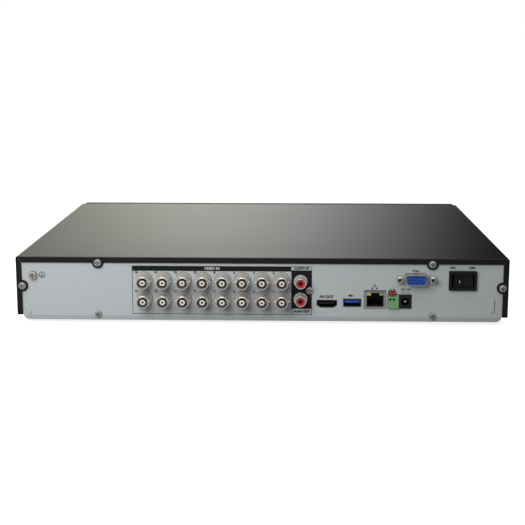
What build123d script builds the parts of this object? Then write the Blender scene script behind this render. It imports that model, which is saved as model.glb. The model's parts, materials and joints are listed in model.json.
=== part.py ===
"""Sixteen-channel digital video recorder: a one-unit steel case with its boards, hard drive and fan.

Millimetres, +Z up. The origin is on the surface the feet stand on, midway between the outer sides
and midway between the front bezel and the tips of the video jacks. The front faces -Y.
"""

import os
from math import cos, radians, sin, tan

from build123d import *

os.makedirs("parts", exist_ok=True)

# ---------------------------------------------------------------- driving dimensions
case_width = 375.0
case_height = 49.5
overall_depth = 285.0
case_z = 3.5  # underside of the case above the surface
jack_reach = 13.0  # video jacks beyond the rear panel
bezel_depth = 11.0
sheet = 1.0  # steel thickness
slip_gap = 0.1  # between the sliding cover and what it slides on

top_z = case_z + case_height
front_y = -overall_depth / 2
bezel_back_y = front_y + bezel_depth
rear_y = overall_depth / 2 - jack_reach  # outer face of the rear panel
panel_in_y = rear_y - sheet  # inner face of the rear panel

# Chassis
tray_half = 183.0
tray_z = case_z + sheet  # underside of the tray, which lies on the rear panel's foot flange
floor_z = tray_z + sheet  # top of the tray's floor
tray_front_y = bezel_back_y + slip_gap
tray_rear_y = panel_in_y
side_wall_top_z = 48.0
front_wall_top_z = top_z - sheet - 0.5

# Cover
cover_bottom_z = case_z + 4.1
cover_flange = 4.4  # width of the frame folded over the rear panel
cover_bend = 1.4
ear_radius = 4.4
top_ear_z = case_z + 45.2
side_ear_z = case_z + 26.9
ear_left_x = 124.5
ear_right_x = -129.5
side_ear_x = 182.8
cover_rear_y = rear_y + slip_gap + sheet

# Boards
board_top_z = case_z + 10.5
board_thickness = 1.6
board_bottom_z = board_top_z - board_thickness
board_front_y = 46.0
board_rear_y = 127.3
board_left_x = 112.0
board_right_x = -122.0

# Video jacks
jack_columns = 8
jack_pitch = 15.0
jack_first_x = 89.2
jack_rows_z = (case_z + 17.0, case_z + 31.8)
jack_barrel_radius = 4.84
jack_bore_radius = 4.1
jack_collar_radius = 6.2

# Other rear connectors: centre across and up
rca_x = -30.0
rca_rows_z = (case_z + 17.4, case_z + 31.2)
hdmi_x, hdmi_z = -50.1, case_z + 13.9
usb_x, usb_z = -69.35, case_z + 14.8
lan_x, lan_z = -86.7, case_z + 17.2
bus_x, bus_z = -100.7, case_z + 16.2
dc_x, dc_z = -109.6, case_z + 16.0
vga_x, vga_z = -117.2, case_z + 33.7
bus_buttons_aside = 1.1
vga_screw_spacing = 25.0
vga_height, vga_top_width, vga_wall = 8.4, 17.2, 0.7
switch_x, switch_z = -152.6, case_z + 32.6
ground_x, ground_z = 174.3, case_z + 35.0
foot_screw_z = case_z + 4.8
panel_screw_x = (125.0, -130.2)
rca_screw_x, rca_screw_z = -36.9, case_z + 24.2

# Fasteners
m3_shank = 1.4
m3_hole = 1.6
m3_head_radius = 2.8
m3_head_height = 1.9
bearing_clearance = 0.05

# Drive bays
drive_width = 101.6
drive_length = 147.0
drive_z = floor_z + 3.0
drive_x = -115.0
spare_bay_x = -5.0
drive_front_y = -127.0
drive_mid_y = drive_front_y + drive_length / 2
drive_rear_y = drive_front_y + drive_length
bay_hole_spacing = (95.25, 44.45)
bay_hole_mid_y = drive_front_y + 83.5

# Fan
fan_size = 40.0
fan_depth = 10.0
fan_y, fan_z = 12.0, 28.5
fan_hole_spacing = 32.0

# Front
front_port_x, front_port_z = 140.0, 24.0
front_board_top_z = front_port_z - 2.9
front_board_z = front_board_top_z - board_thickness
window_mid_x, window_mid_z = -45.0, case_z + case_height / 2
window_width, window_height, window_thickness = 250.0, 19.0, 1.5
pipe_x = (88.0, 98.0, 108.0)
pipe_radius = 1.1

feet_at = [(x, y) for x in (-155.0, 155.0) for y in (-105.0, 100.0)]


def facing_rear(y):
    """Sketch plane at y whose sketch reads X across and Z up. Extruding goes into the case, along -Y."""
    return Plane.XZ.offset(-y)


def write(piece, label):
    piece.part.label = label
    export_step(piece.part, f"parts/{label}.step")


def jack_points():
    return [
        (jack_first_x - column * jack_pitch, z)
        for z in jack_rows_z
        for column in range(jack_columns)
    ]


# ---------------------------------------------------------------- shared profiles
def d_outline(height, top_width, corner):
    """The D of a VGA shell: wide side up, flanks at ten degrees. Use inside a BuildSketch."""
    bottom_width = top_width - 2 * height * tan(radians(10))
    with BuildLine(mode=Mode.PRIVATE) as outline:
        Polyline(
            (-top_width / 2, height / 2),
            (top_width / 2, height / 2),
            (bottom_width / 2, -height / 2),
            (-bottom_width / 2, -height / 2),
            close=True,
        )
    with BuildSketch(mode=Mode.PRIVATE) as d_face:
        make_face(outline.edges())
        fillet(d_face.vertices(), corner)
    return d_face.sketch


def hdmi_outline(width, height):
    """The HDMI opening: square shoulders above, flanks drawn in below."""
    shoulder = height * 0.2
    foot = width * 0.32
    with BuildLine(mode=Mode.PRIVATE) as outline:
        Polyline(
            (-width / 2, height / 2),
            (width / 2, height / 2),
            (width / 2, -shoulder),
            (foot, -height / 2),
            (-foot, -height / 2),
            (-width / 2, -shoulder),
            close=True,
        )
    with BuildSketch(mode=Mode.PRIVATE) as hdmi_face:
        make_face(outline.edges())
        fillet(hdmi_face.vertices(), 0.35)
    return hdmi_face.sketch


# ---------------------------------------------------------------- fastener masters, head up at the origin
m3_flange_height = 0.6
m3_dome_radius = 2.35
m3_recess = (1.0, 3.4, 1.2)  # cross recess: arm width, span and depth
m3_length = 5.0

with BuildPart() as pan_screw:
    with BuildSketch():
        Circle(m3_head_radius)
    extrude(amount=m3_flange_height)
    with BuildSketch():
        Circle(m3_dome_radius)
    extrude(amount=m3_head_height)
    fillet(pan_screw.edges().group_by(Axis.Z)[-1], 0.8)
    with BuildSketch(Plane.XY.offset(m3_head_height)):
        Rectangle(m3_recess[0], m3_recess[1])
        Rectangle(m3_recess[1], m3_recess[0])
    extrude(amount=-m3_recess[2], mode=Mode.SUBTRACT)
    with BuildSketch():
        Circle(m3_shank)
    extrude(amount=-m3_length)

washer_radius = 3.3
washer_thickness = 0.7
hex_half_width = 2.7
hex_top = 3.0
hex_recess = (1.0, 3.8, 1.3)

with BuildPart() as washer_screw:
    with BuildSketch():
        Circle(washer_radius)
    extrude(amount=washer_thickness)
    with BuildSketch(Plane.XY.offset(washer_thickness)):
        RegularPolygon(hex_half_width, 6, major_radius=False)
    extrude(amount=hex_top - washer_thickness)
    fillet(washer_screw.faces().sort_by(Axis.Z)[-1].edges(), 0.5)
    with BuildSketch(Plane.XY.offset(hex_top)):
        Rectangle(hex_recess[0], hex_recess[1])
        Rectangle(hex_recess[1], hex_recess[0])
    extrude(amount=-hex_recess[2], mode=Mode.SUBTRACT)
    with BuildSketch():
        Circle(m3_shank)
    extrude(amount=-(m3_length + sheet))

HEAD_REAR = (-90, 0, 0)
HEAD_DOWN = (180, 0, 0)
HEAD_UP = (0, 0, 0)
HEAD_LEFT = (0, 90, 0)


# ---------------------------------------------------------------- base tray
front_port_hole = (15.0, 8.0)
pipe_hole = (34.0, 8.0)
floor_slot = (26.0, 3.0)
floor_slots_mid, floor_slots_pitch, floor_slots_count = (90.0, -60.0), (8.0, 34.0), (8, 3)
front_lip = 11.0  # the front wall and the corners beside it keep their full height
front_flange = 9.4
drive_boss_radius = 4.5
drive_boss_hole = 1.8
fan_outlet_radius = 18.2
vent_banks_y = (-60, 60)
clip_x = (-160.0, -60.0, 60.0, 165.0)
clip_z = 44.0
clip_slot = (12.0, 4.0)
vent_slot = (2.4, 18.0)
vent_pitch = 5.0
vent_z = 28.0
upstand_top_z = 12.9
tray_bend = 3.2  # recedes from the rear panel's slanted foot, which the tray lies behind
tray_corner = 3.6
side_wall_setback = 9.0
front_standoff_at = [(98.0, -114.0), (152.0, -114.0)]
standoff_at = [(104.0, 52.0), (-12.0, 52.0), (-100.0, 62.0), (104.0, 105.0), (-22.5, 108.0), (-118.0, 92.0)]

with BuildPart() as base_tray:
    with BuildSketch(Plane.XY.offset(tray_z)):
        with Locations((0, (tray_front_y + tray_rear_y) / 2)):
            Rectangle(2 * tray_half, tray_rear_y - tray_front_y)
    extrude(amount=front_wall_top_z - tray_z)
    upright_edges = base_tray.edges().filter_by(Axis.Z)
    fillet(upright_edges, tray_corner)
    fillet(base_tray.faces().sort_by(Axis.Z)[0].edges(), tray_bend)
    offset(amount=-sheet, openings=base_tray.faces().sort_by(Axis.Z)[-1])
    # The rear wall is only a low upstand, and the side walls stop short of the cover.
    with BuildSketch(Plane.XY.offset(side_wall_top_z)):
        with Locations((0, tray_front_y + front_lip + overall_depth / 2)):
            Rectangle(2 * tray_half + 2, overall_depth)
    extrude(amount=case_height, mode=Mode.SUBTRACT)
    # Clear of the cover's side screws
    with BuildSketch(Plane.XY.offset(upstand_top_z)):
        with Locations((0, tray_rear_y)):
            Rectangle(2 * tray_half, 2 * side_wall_setback)
    extrude(amount=case_height, mode=Mode.SUBTRACT)
    # Flange folded back from the front wall
    with BuildSketch(Plane.XY.offset(front_wall_top_z - sheet)):
        with Locations((0, tray_front_y + 5.5)):
            Rectangle(2 * tray_half - 3, front_flange)
    extrude(amount=sheet)
    # Raised bosses that carry the drives
    with BuildSketch(Plane.XY.offset(floor_z)):
        for bay_x in (drive_x, spare_bay_x):
            with Locations((bay_x, bay_hole_mid_y)):
                with GridLocations(*bay_hole_spacing, 2, 2):
                    Circle(drive_boss_radius)
    extrude(amount=drive_z - floor_z)
    with BuildSketch(Plane.XY.offset(tray_z)):
        for bay_x in (drive_x, spare_bay_x):
            with Locations((bay_x, bay_hole_mid_y)):
                with GridLocations(*bay_hole_spacing, 2, 2):
                    Circle(drive_boss_hole)
        with Locations(*feet_at, *standoff_at, *front_standoff_at):
            Circle(m3_hole)
        # Air slots in the floor beside the spare bay
        with Locations(floor_slots_mid):
            with GridLocations(*floor_slots_pitch, *floor_slots_count):
                SlotOverall(*floor_slot, rotation=90)
    extrude(amount=4 * sheet, mode=Mode.SUBTRACT)
    # Openings in the front wall
    with BuildSketch(facing_rear(tray_front_y + 2 * sheet)):
        with Locations((front_port_x, front_port_z)):
            Rectangle(*front_port_hole)
        with Locations((pipe_x[1], window_mid_z)):
            Rectangle(*pipe_hole)
        with Locations(*[(x, clip_z) for x in clip_x]):
            Rectangle(*clip_slot)
    extrude(amount=4 * sheet, mode=Mode.SUBTRACT)
    # Fan outlet on one side, air slots on the other
    with BuildSketch(Plane.YZ.offset(tray_half - 3 * sheet)):
        with Locations((fan_y, fan_z)):
            Circle(fan_outlet_radius)
            with GridLocations(fan_hole_spacing, fan_hole_spacing, 2, 2):
                Circle(m3_hole)
    extrude(amount=4 * sheet, mode=Mode.SUBTRACT)
    with BuildSketch(Plane.YZ.offset(-tray_half - sheet)):
        for bank_y in vent_banks_y:
            with Locations((bank_y, vent_z)):
                with GridLocations(vent_pitch, 0, 12, 1):
                    SlotOverall(vent_slot[1], vent_slot[0], rotation=90)
    extrude(amount=4 * sheet, mode=Mode.SUBTRACT)
    # Screw holes in the upstand
    with BuildSketch(facing_rear(tray_rear_y + sheet)):
        with Locations(*[(x, foot_screw_z) for x in panel_screw_x]):
            Circle(m3_shank + slip_gap)
    extrude(amount=4 * sheet, mode=Mode.SUBTRACT)
write(base_tray, "base_tray")


# ---------------------------------------------------------------- rear panel
panel_half = 186.0
panel_notch_z = cover_bottom_z + sheet + 0.4  # the cover's lower lip passes under this shoulder
panel_top_z = top_z - sheet - 0.2
panel_corner = 4.8
panel_slant, panel_slant_height = 14.0, 3.6  # the foot of the face leans inwards
panel_bend = 1.4
panel_rear_slack = 0.2  # openings clear what passes through them by this much all round
panel_ribs = (  # centre across, centre above the case's foot, length, turn
    (-175.8, 13.2, 9.6, 90),
    (179.0, 7.9, 6.4, 62),
)
rib_taper = -28
usb_cutout = (13.9, 6.5)
lan_cutout = (16.8, 14.4)
power_cutout = (18.4, 11.2)
button_cutout = (6.2, 4.4)
switch_cutout = (19.4, 13.2)
hdmi_cutout = (15.7, 6.2)
rca_cutout_radius = 4.9
foot_flange_y = rear_y - 13.0
vga_cut_margin = 0.5
rib_height, rib_width = 0.9, 2.2

with BuildPart() as rear_panel:
    # Bent strip: face, slanted foot and foot flange
    with BuildSketch(Plane.YZ.offset(-panel_half)):
        with BuildLine() as panel_line:
            Polyline(
                (foot_flange_y, case_z),
                (rear_y - panel_slant_height * tan(radians(panel_slant)), case_z),
                (rear_y, case_z + panel_slant_height),
                (rear_y, panel_top_z),
            )
            fillet(panel_line.vertices().sort_by(Axis.Z)[:2].sort_by(Axis.Y)[-1], panel_bend)
            offset(amount=sheet, side=Side.LEFT)
        make_face()
    extrude(amount=2 * panel_half)
    # Outline: shoulders above the cover's lip, rounded lower corners
    with BuildSketch(facing_rear(rear_y + sheet)) as panel_outline:
        with Locations((0, (case_z + panel_notch_z) / 2)):
            Rectangle(2 * tray_half, panel_notch_z - case_z)
        fillet(panel_outline.vertices().group_by(Axis.Y)[0], panel_corner)
        with Locations((0, (panel_notch_z + panel_top_z) / 2)):
            Rectangle(2 * panel_half, panel_top_z - panel_notch_z)
    extrude(amount=30, mode=Mode.INTERSECT)
    # Stiffening flange along the top
    with BuildSketch(Plane.XY.offset(panel_top_z - sheet)):
        with Locations((0, panel_in_y - 4.0)):
            Rectangle(2 * panel_half - 8, 8.0)
    extrude(amount=sheet)
    # Connector openings
    with BuildSketch(facing_rear(rear_y + sheet)):
        with Locations(*jack_points()):
            Circle(jack_collar_radius + panel_rear_slack)
        with Locations(*[(rca_x, z) for z in rca_rows_z]):
            Circle(rca_cutout_radius)
        with Locations((hdmi_x, hdmi_z)):
            add(hdmi_outline(*hdmi_cutout))
        with Locations((usb_x, usb_z)):
            Rectangle(*usb_cutout)
        with Locations((lan_x, lan_z + panel_rear_slack)):
            Rectangle(*lan_cutout)
        with Locations(((bus_x + dc_x) / 2 - 0.25, dc_z)):
            Rectangle(*power_cutout)
        with Locations((bus_x + bus_buttons_aside, bus_z + 6.1)):
            Rectangle(*button_cutout)
        with Locations((vga_x, vga_z)):
            add(d_outline(vga_height + vga_cut_margin, vga_top_width + vga_cut_margin, 2.0))
            with GridLocations(vga_screw_spacing, 0, 2, 1):
                Circle(m3_hole)
        with Locations((switch_x, switch_z)):
            Rectangle(*switch_cutout)
        with Locations((ground_x, ground_z), (rca_screw_x, rca_screw_z)):
            Circle(m3_shank + slip_gap)
        with Locations(*[(x, foot_screw_z) for x in panel_screw_x]):
            Circle(m3_shank + slip_gap)
        with Locations((ear_left_x, top_ear_z), (ear_right_x, top_ear_z)):
            Circle(m3_hole)
        with Locations((side_ear_x, side_ear_z), (-side_ear_x, side_ear_z)):
            Circle(m3_hole)
    extrude(amount=3 * sheet, mode=Mode.SUBTRACT)
    # Pressed ribs: an upright one beside one lower corner, a slanted one close to the other
    for rib_x, rib_v, rib_length, rib_turn in panel_ribs:
        with BuildSketch(facing_rear(rear_y + rib_height)):
            with Locations((rib_x, case_z + rib_v)):
                SlotOverall(rib_length, rib_width, rotation=rib_turn)
        extrude(amount=rib_height + 0.2, taper=rib_taper)
write(rear_panel, "rear_panel")


# ---------------------------------------------------------------- top cover
cover_front_y = bezel_back_y + 0.3
cover_length = cover_rear_y - cover_front_y
cover_half = case_width / 2
lip_inner_x = tray_half + 0.3
rear_edge_round = 0.8
corner_relief = (5.6, 0.5)
relief_inset = 1.6
cover_vents = 10  # slots in each bank

with BuildPart() as top_cover:
    with BuildSketch(Plane.XY.offset(cover_bottom_z)):
        with Locations((0, (cover_front_y + cover_rear_y) / 2)):
            Rectangle(case_width, cover_length)
    extrude(amount=top_z - cover_bottom_z)
    long_edges = top_cover.edges().filter_by(Axis.Y)
    fillet(long_edges.group_by(Axis.Z)[-1], cover_bend)
    rear_edges = top_cover.faces().sort_by(Axis.Y)[-1].edges()
    fillet(rear_edges.group_by(Axis.Z)[-1], rear_edge_round)
    # Inside: open to the front and below, with a frame left round the rear
    with BuildSketch(facing_rear(cover_rear_y - sheet)) as inside:
        with Locations((0, (cover_bottom_z + top_z) / 2)):
            Rectangle(case_width - 2 * sheet, top_z - cover_bottom_z - 2 * sheet)
        fillet(inside.vertices().group_by(Axis.Y)[-1], 0.5)
    extrude(amount=cover_length, mode=Mode.SUBTRACT)
    with BuildSketch(Plane.XY.offset(cover_bottom_z - sheet)):
        with Locations((0, (cover_front_y + cover_rear_y) / 2)):
            Rectangle(2 * lip_inner_x, 2 * cover_length)
    extrude(amount=2.5 * sheet, mode=Mode.SUBTRACT)
    # Window in the rear frame, with the screw ears left standing into it
    with BuildSketch(facing_rear(cover_rear_y + sheet)):
        with Locations((0, (cover_bottom_z - sheet + top_z - cover_flange) / 2)):
            Rectangle(2 * (cover_half - cover_flange), top_z - cover_flange - cover_bottom_z + sheet)
        with Locations((ear_left_x, top_ear_z), (ear_right_x, top_ear_z)):
            Circle(ear_radius, mode=Mode.SUBTRACT)
        with Locations((side_ear_x, side_ear_z), (-side_ear_x, side_ear_z)):
            Circle(ear_radius, mode=Mode.SUBTRACT)
    extrude(amount=3 * sheet, mode=Mode.SUBTRACT)
    # Screw holes, and the corner reliefs where the frame's flanges meet
    with BuildSketch(facing_rear(cover_rear_y + sheet)):
        with Locations((ear_left_x, top_ear_z), (ear_right_x, top_ear_z)):
            Circle(m3_hole)
        with Locations((side_ear_x, side_ear_z), (-side_ear_x, side_ear_z)):
            Circle(m3_hole)
        for side in (-1, 1):
            relief_x = side * (cover_half - cover_flange + relief_inset)
            with Locations((relief_x, top_z - cover_flange + relief_inset)):
                Rectangle(*corner_relief, rotation=side * 45)
    extrude(amount=2 * sheet, mode=Mode.SUBTRACT)
    # Air slots in both sides
    for wall_x, banks in ((cover_half - 3 * sheet, (fan_y,)), (-cover_half - sheet, vent_banks_y)):
        with BuildSketch(Plane.YZ.offset(wall_x)):
            for bank_y in banks:
                with Locations((bank_y, vent_z)):
                    with GridLocations(vent_pitch, 0, cover_vents, 1):
                        SlotOverall(vent_slot[1], vent_slot[0], rotation=90)
        extrude(amount=4 * sheet, mode=Mode.SUBTRACT)
write(top_cover, "top_cover")


# ---------------------------------------------------------------- front bezel and what it carries
bezel_corner = 5.0
bezel_skin = 2.2
bezel_gap = 0.25
bezel_face_round = 2.0
bezel_face = 1.6 + bezel_skin  # thickness behind the front face
bezel_groove = 1.0
bezel_port = (14.0, 6.6)
clip_tongue = (10.0, 1.6)
window_corner = 2.5

with BuildPart() as front_bezel:
    with BuildSketch(facing_rear(bezel_back_y)) as bezel_outline:
        with Locations((0, case_z + case_height / 2)):
            Rectangle(case_width, case_height)
        fillet(bezel_outline.vertices(), bezel_corner)
    extrude(amount=bezel_depth)
    fillet(front_bezel.faces().sort_by(Axis.Y)[0].edges(), bezel_face_round)
    with BuildSketch(facing_rear(bezel_back_y + 1)) as bezel_inside:
        with Locations((0, case_z + case_height / 2)):
            Rectangle(case_width - 2 * bezel_skin, case_height - 2 * bezel_skin)
        fillet(bezel_inside.vertices(), bezel_corner - bezel_skin + 0.8)
    extrude(amount=bezel_depth - bezel_face + 1, mode=Mode.SUBTRACT)
    # Seat of the gloss window and of the port plate
    with BuildSketch(facing_rear(front_y + window_thickness)):
        with Locations((window_mid_x, window_mid_z)):
            RectangleRounded(window_width + 2 * bezel_gap, window_height + 2 * bezel_gap, window_corner)
    extrude(amount=5, mode=Mode.SUBTRACT)
    # Groove along the whole face under the window
    with BuildSketch(facing_rear(front_y + 0.8)):
        with Locations((0, window_mid_z - window_height / 2 - 5.0)):
            Rectangle(case_width - 16.0, bezel_groove)
    extrude(amount=2, mode=Mode.SUBTRACT)
    # Port and light-pipe holes
    with BuildSketch(facing_rear(bezel_back_y + 1)):
        with Locations((front_port_x, front_port_z)):
            Rectangle(*bezel_port)
        with Locations(*[(x, window_mid_z) for x in pipe_x]):
            Circle(pipe_radius + 0.1)
    extrude(amount=20, mode=Mode.SUBTRACT)
    # Spring clips that pass through the tray's front wall
    with BuildSketch(facing_rear(bezel_back_y + 4.0)):
        with Locations(*[(x, clip_z) for x in clip_x]):
            Rectangle(*clip_tongue)
    extrude(amount=bezel_depth + 1.0)
write(front_bezel, "front_bezel")

with BuildPart() as display_window:
    with BuildSketch(facing_rear(front_y + window_thickness)):
        with Locations((window_mid_x, window_mid_z)):
            RectangleRounded(window_width, window_height, window_corner - 0.2)
    extrude(amount=window_thickness)
    fillet(display_window.faces().sort_by(Axis.Y)[0].edges(), 0.3)
write(display_window, "display_window")

with BuildPart() as light_pipes:
    with BuildSketch(facing_rear(tray_front_y + 4.0)):
        with Locations(*[(x, window_mid_z) for x in pipe_x]):
            Circle(pipe_radius)
    extrude(amount=tray_front_y + 4.0 - front_y - 0.3)
    with BuildSketch(facing_rear(tray_front_y + 6.0)):
        with Locations((pipe_x[1], window_mid_z)):
            Rectangle(pipe_x[2] - pipe_x[0] + 8.0, 5.0)
    extrude(amount=2.0)
write(light_pipes, "light_pipes")


# ---------------------------------------------------------------- feet and screws
foot_radius = 8.0
foot_recess_radius, foot_recess_z = 3.6, 3.0

with BuildPart() as rubber_feet:
    with BuildSketch(Plane.XY):
        with Locations(*feet_at):
            Circle(foot_radius - 1.0)
    extrude(amount=tray_z, taper=-9)
    with BuildSketch(Plane.XY):
        with Locations(*feet_at):
            Circle(foot_recess_radius)
    extrude(amount=foot_recess_z, mode=Mode.SUBTRACT)
    with BuildSketch(Plane.XY):
        with Locations(*feet_at):
            Circle(m3_hole)
    extrude(amount=tray_z, mode=Mode.SUBTRACT)
write(rubber_feet, "rubber_feet")

with BuildPart() as chassis_screws:
    with Locations(*[Location((x, y, foot_recess_z), HEAD_DOWN) for x, y in feet_at]):
        add(pan_screw.part)
    with Locations(*[Location((x, rear_y, foot_screw_z), HEAD_REAR) for x in panel_screw_x]):
        add(pan_screw.part)
    with Locations(Location((rca_screw_x, rear_y, rca_screw_z), HEAD_REAR)):
        add(pan_screw.part)
    with Locations(*[Location((x, y, board_top_z), HEAD_UP) for x, y in standoff_at]):
        add(pan_screw.part)
    with Locations(*[Location((x, y, front_board_top_z), HEAD_UP) for x, y in front_standoff_at]):
        add(pan_screw.part)
    fan_screw_at = [
        (fan_y + i * fan_hole_spacing / 2, fan_z + j * fan_hole_spacing / 2)
        for i in (-1, 1)
        for j in (-1, 1)
    ]
    with Locations(*[Location((tray_half, y, z), HEAD_LEFT) for y, z in fan_screw_at]):
        add(pan_screw.part)
    drive_screw_at = [
        (drive_x + i * bay_hole_spacing[0] / 2, bay_hole_mid_y + j * bay_hole_spacing[1] / 2)
        for i in (-1, 1)
        for j in (-1, 1)
    ]
    with Locations(*[Location((x, y, tray_z), HEAD_DOWN) for x, y in drive_screw_at]):
        add(pan_screw.part)
write(chassis_screws, "chassis_screws")

with BuildPart() as cover_screws:
    with Locations(
        Location((ear_left_x, cover_rear_y, top_ear_z), HEAD_REAR),
        Location((ear_right_x, cover_rear_y, top_ear_z), HEAD_REAR),
        Location((side_ear_x, cover_rear_y, side_ear_z), HEAD_REAR),
        Location((-side_ear_x, cover_rear_y, side_ear_z), HEAD_REAR),
    ):
        add(pan_screw.part)
write(cover_screws, "cover_screws")

with BuildPart() as ground_screw:
    with Locations(Location((ground_x, rear_y, ground_z), HEAD_REAR)):
        add(washer_screw.part)
write(ground_screw, "ground_screw")


# ---------------------------------------------------------------- video jacks
jack_tip_y = rear_y + jack_reach
jack_face_y = panel_in_y - 0.2  # front of the plastic blocks that hold the jacks
jack_block_depth = 15.0
jack_block_top = 7.2  # above the upper row
jack_shoulder_radius = 5.5
jack_shoulder = 2.6
jack_seat_depth = 4.0
jack_lug_radius, jack_lug_height = 0.95, 1.25
jack_lug_y = jack_tip_y - 5.2
insulator_radius = 2.1
contact_radius, contact_bore = 0.85, 0.5
contact_recess = 4.2
groove_width, groove_depth = 0.45, 0.3
thread_pitch = 1.0
thread_count = 4

with BuildPart() as bnc_housings:
    with BuildSketch(facing_rear(jack_face_y)):
        for first_column in (0, 4):
            block_x = jack_first_x - (first_column + 1.5) * jack_pitch
            block_top_z = jack_rows_z[1] + jack_block_top
            with Locations((block_x, (board_top_z + block_top_z) / 2)):
                RectangleRounded(4 * jack_pitch - 0.4, block_top_z - board_top_z, 0.8)
    extrude(amount=jack_block_depth)
    with BuildSketch(facing_rear(jack_face_y)):
        with Locations(*jack_points()):
            Circle(jack_collar_radius + 0.02)
    extrude(amount=jack_seat_depth, mode=Mode.SUBTRACT)
write(bnc_housings, "bnc_housings")

with BuildPart() as bnc_shells:
    # Seat in the block, then collar, shoulder and barrel
    with BuildSketch(facing_rear(rear_y + 1.0)):
        with Locations(*jack_points()):
            Circle(jack_collar_radius)
    extrude(amount=rear_y + 1.0 - jack_face_y + jack_seat_depth)
    with BuildSketch(facing_rear(rear_y + jack_shoulder)):
        with Locations(*jack_points()):
            Circle(jack_shoulder_radius)
    extrude(amount=jack_shoulder - 1.0)
    with BuildSketch(facing_rear(jack_tip_y)):
        with Locations(*jack_points()):
            Circle(jack_barrel_radius)
    extrude(amount=jack_reach - jack_shoulder)
    tip_edges = bnc_shells.edges().filter_by(GeomType.CIRCLE).group_by(Axis.Y)[-1]
    chamfer(tip_edges, 0.35)
    # Turned grooves round the root of each barrel
    for groove in range(thread_count):
        with BuildSketch(facing_rear(rear_y + 3.4 + groove * thread_pitch)):
            for x, z in jack_points():
                with Locations((x, z)):
                    Circle(jack_barrel_radius + 0.2)
                    Circle(jack_barrel_radius - groove_depth, mode=Mode.SUBTRACT)
        extrude(amount=groove_width, mode=Mode.SUBTRACT)
    # Bayonet lugs, left and right of each barrel
    for lug_side in (-1, 1):
        for x, z in jack_points():
            with BuildSketch(Plane.YZ.offset(x + lug_side * 4.2)):
                with Locations((jack_lug_y, z)):
                    Circle(jack_lug_radius)
            extrude(amount=lug_side * jack_lug_height)
    with BuildSketch(facing_rear(jack_tip_y)):
        with Locations(*jack_points()):
            Circle(jack_bore_radius)
    extrude(amount=jack_reach - 2.0, mode=Mode.SUBTRACT)
    with BuildSketch(facing_rear(jack_tip_y)):
        with Locations(*jack_points()):
            Circle(insulator_radius)
    extrude(amount=jack_reach + 3.0, mode=Mode.SUBTRACT)
write(bnc_shells, "bnc_shells")

with BuildPart() as bnc_insulators:
    with BuildSketch(facing_rear(jack_tip_y - 0.9)):
        with Locations(*jack_points()):
            Circle(insulator_radius)
    extrude(amount=jack_reach + 2.0)
    front_edges = bnc_insulators.edges().filter_by(GeomType.CIRCLE).group_by(Axis.Y)[-1]
    fillet(front_edges, 0.3)
    with BuildSketch(facing_rear(jack_tip_y)):
        with Locations(*jack_points()):
            Circle(contact_radius)
    extrude(amount=jack_reach + 3.0, mode=Mode.SUBTRACT)
write(bnc_insulators, "bnc_insulators")

with BuildPart() as bnc_contacts:
    with BuildSketch(facing_rear(jack_tip_y - contact_recess)):
        with Locations(*jack_points()):
            Circle(contact_radius)
            Circle(contact_bore, mode=Mode.SUBTRACT)
    extrude(amount=jack_reach - 1.5)
write(bnc_contacts, "bnc_contacts")


# ---------------------------------------------------------------- audio jacks
rca_reach = 9.0
rca_tip_y = rear_y + rca_reach
rca_barrel_radius, rca_bore_radius = 4.15, 3.45
rca_flange_radius, rca_flange = 5.2, 0.9
rca_neck_radius = 4.65
rca_points = [(rca_x, z) for z in rca_rows_z]

with BuildPart() as rca_housing:
    with BuildSketch(facing_rear(panel_in_y - 0.1)):
        with Locations((rca_x - 1.8, (board_top_z + rca_rows_z[1] + 6.0) / 2)):
            RectangleRounded(15.4, rca_rows_z[1] + 6.0 - board_top_z, 0.6)
    extrude(amount=12.0)
    with BuildSketch(facing_rear(panel_in_y)):
        with Locations(*rca_points):
            Circle(4.7)
        with Locations((rca_screw_x, rca_screw_z)):
            Circle(m3_shank + slip_gap)
    extrude(amount=6.5, mode=Mode.SUBTRACT)
write(rca_housing, "rca_housing")

with BuildPart() as rca_shells:
    with BuildSketch(facing_rear(rca_tip_y)):
        with Locations(*rca_points):
            Circle(rca_barrel_radius)
    extrude(amount=rca_reach)
    rim_edges = rca_shells.edges().filter_by(GeomType.CIRCLE).group_by(Axis.Y)[-1]
    fillet(rim_edges, 0.3)
    with BuildSketch(facing_rear(rear_y + rca_flange)):
        with Locations(*rca_points):
            Circle(rca_flange_radius)
    extrude(amount=rca_flange)
    with BuildSketch(facing_rear(rear_y)):
        with Locations(*rca_points):
            Circle(rca_neck_radius)
    extrude(amount=7.0)
    with BuildSketch(facing_rear(rca_tip_y)):
        with Locations(*rca_points):
            Circle(rca_bore_radius)
    extrude(amount=14.0, mode=Mode.SUBTRACT)
write(rca_shells, "rca_shells")

with BuildPart() as rca_inserts:
    with BuildSketch(facing_rear(rca_tip_y - 0.6)):
        with Locations(*rca_points):
            Circle(rca_bore_radius)
    extrude(amount=13.4)
    with BuildSketch(facing_rear(rca_tip_y)):
        with Locations(*rca_points):
            Circle(1.8)
    extrude(amount=6.0, mode=Mode.SUBTRACT)
write(rca_inserts, "rca_inserts")


# ---------------------------------------------------------------- HDMI and USB receptacles
port_wall = 0.35

with BuildPart() as hdmi_shell:
    with BuildSketch(facing_rear(rear_y + 0.2)):
        with Locations((hdmi_x, hdmi_z)):
            add(hdmi_outline(15.0, 5.5))
    extrude(amount=12.0)
    with BuildSketch(facing_rear(rear_y + 0.2)):
        with Locations((hdmi_x, hdmi_z)):
            add(hdmi_outline(15.0 - 2 * port_wall, 5.5 - 2 * port_wall))
    extrude(amount=11.0, mode=Mode.SUBTRACT)
    # Solder ears down to the board
    with BuildSketch(Plane.XY.offset(board_top_z)):
        with Locations((hdmi_x - 7.3, rear_y - 8.0), (hdmi_x + 7.3, rear_y - 8.0)):
            Rectangle(0.4, 3.0)
    extrude(amount=hdmi_z - board_top_z)
write(hdmi_shell, "hdmi_shell")

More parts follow.
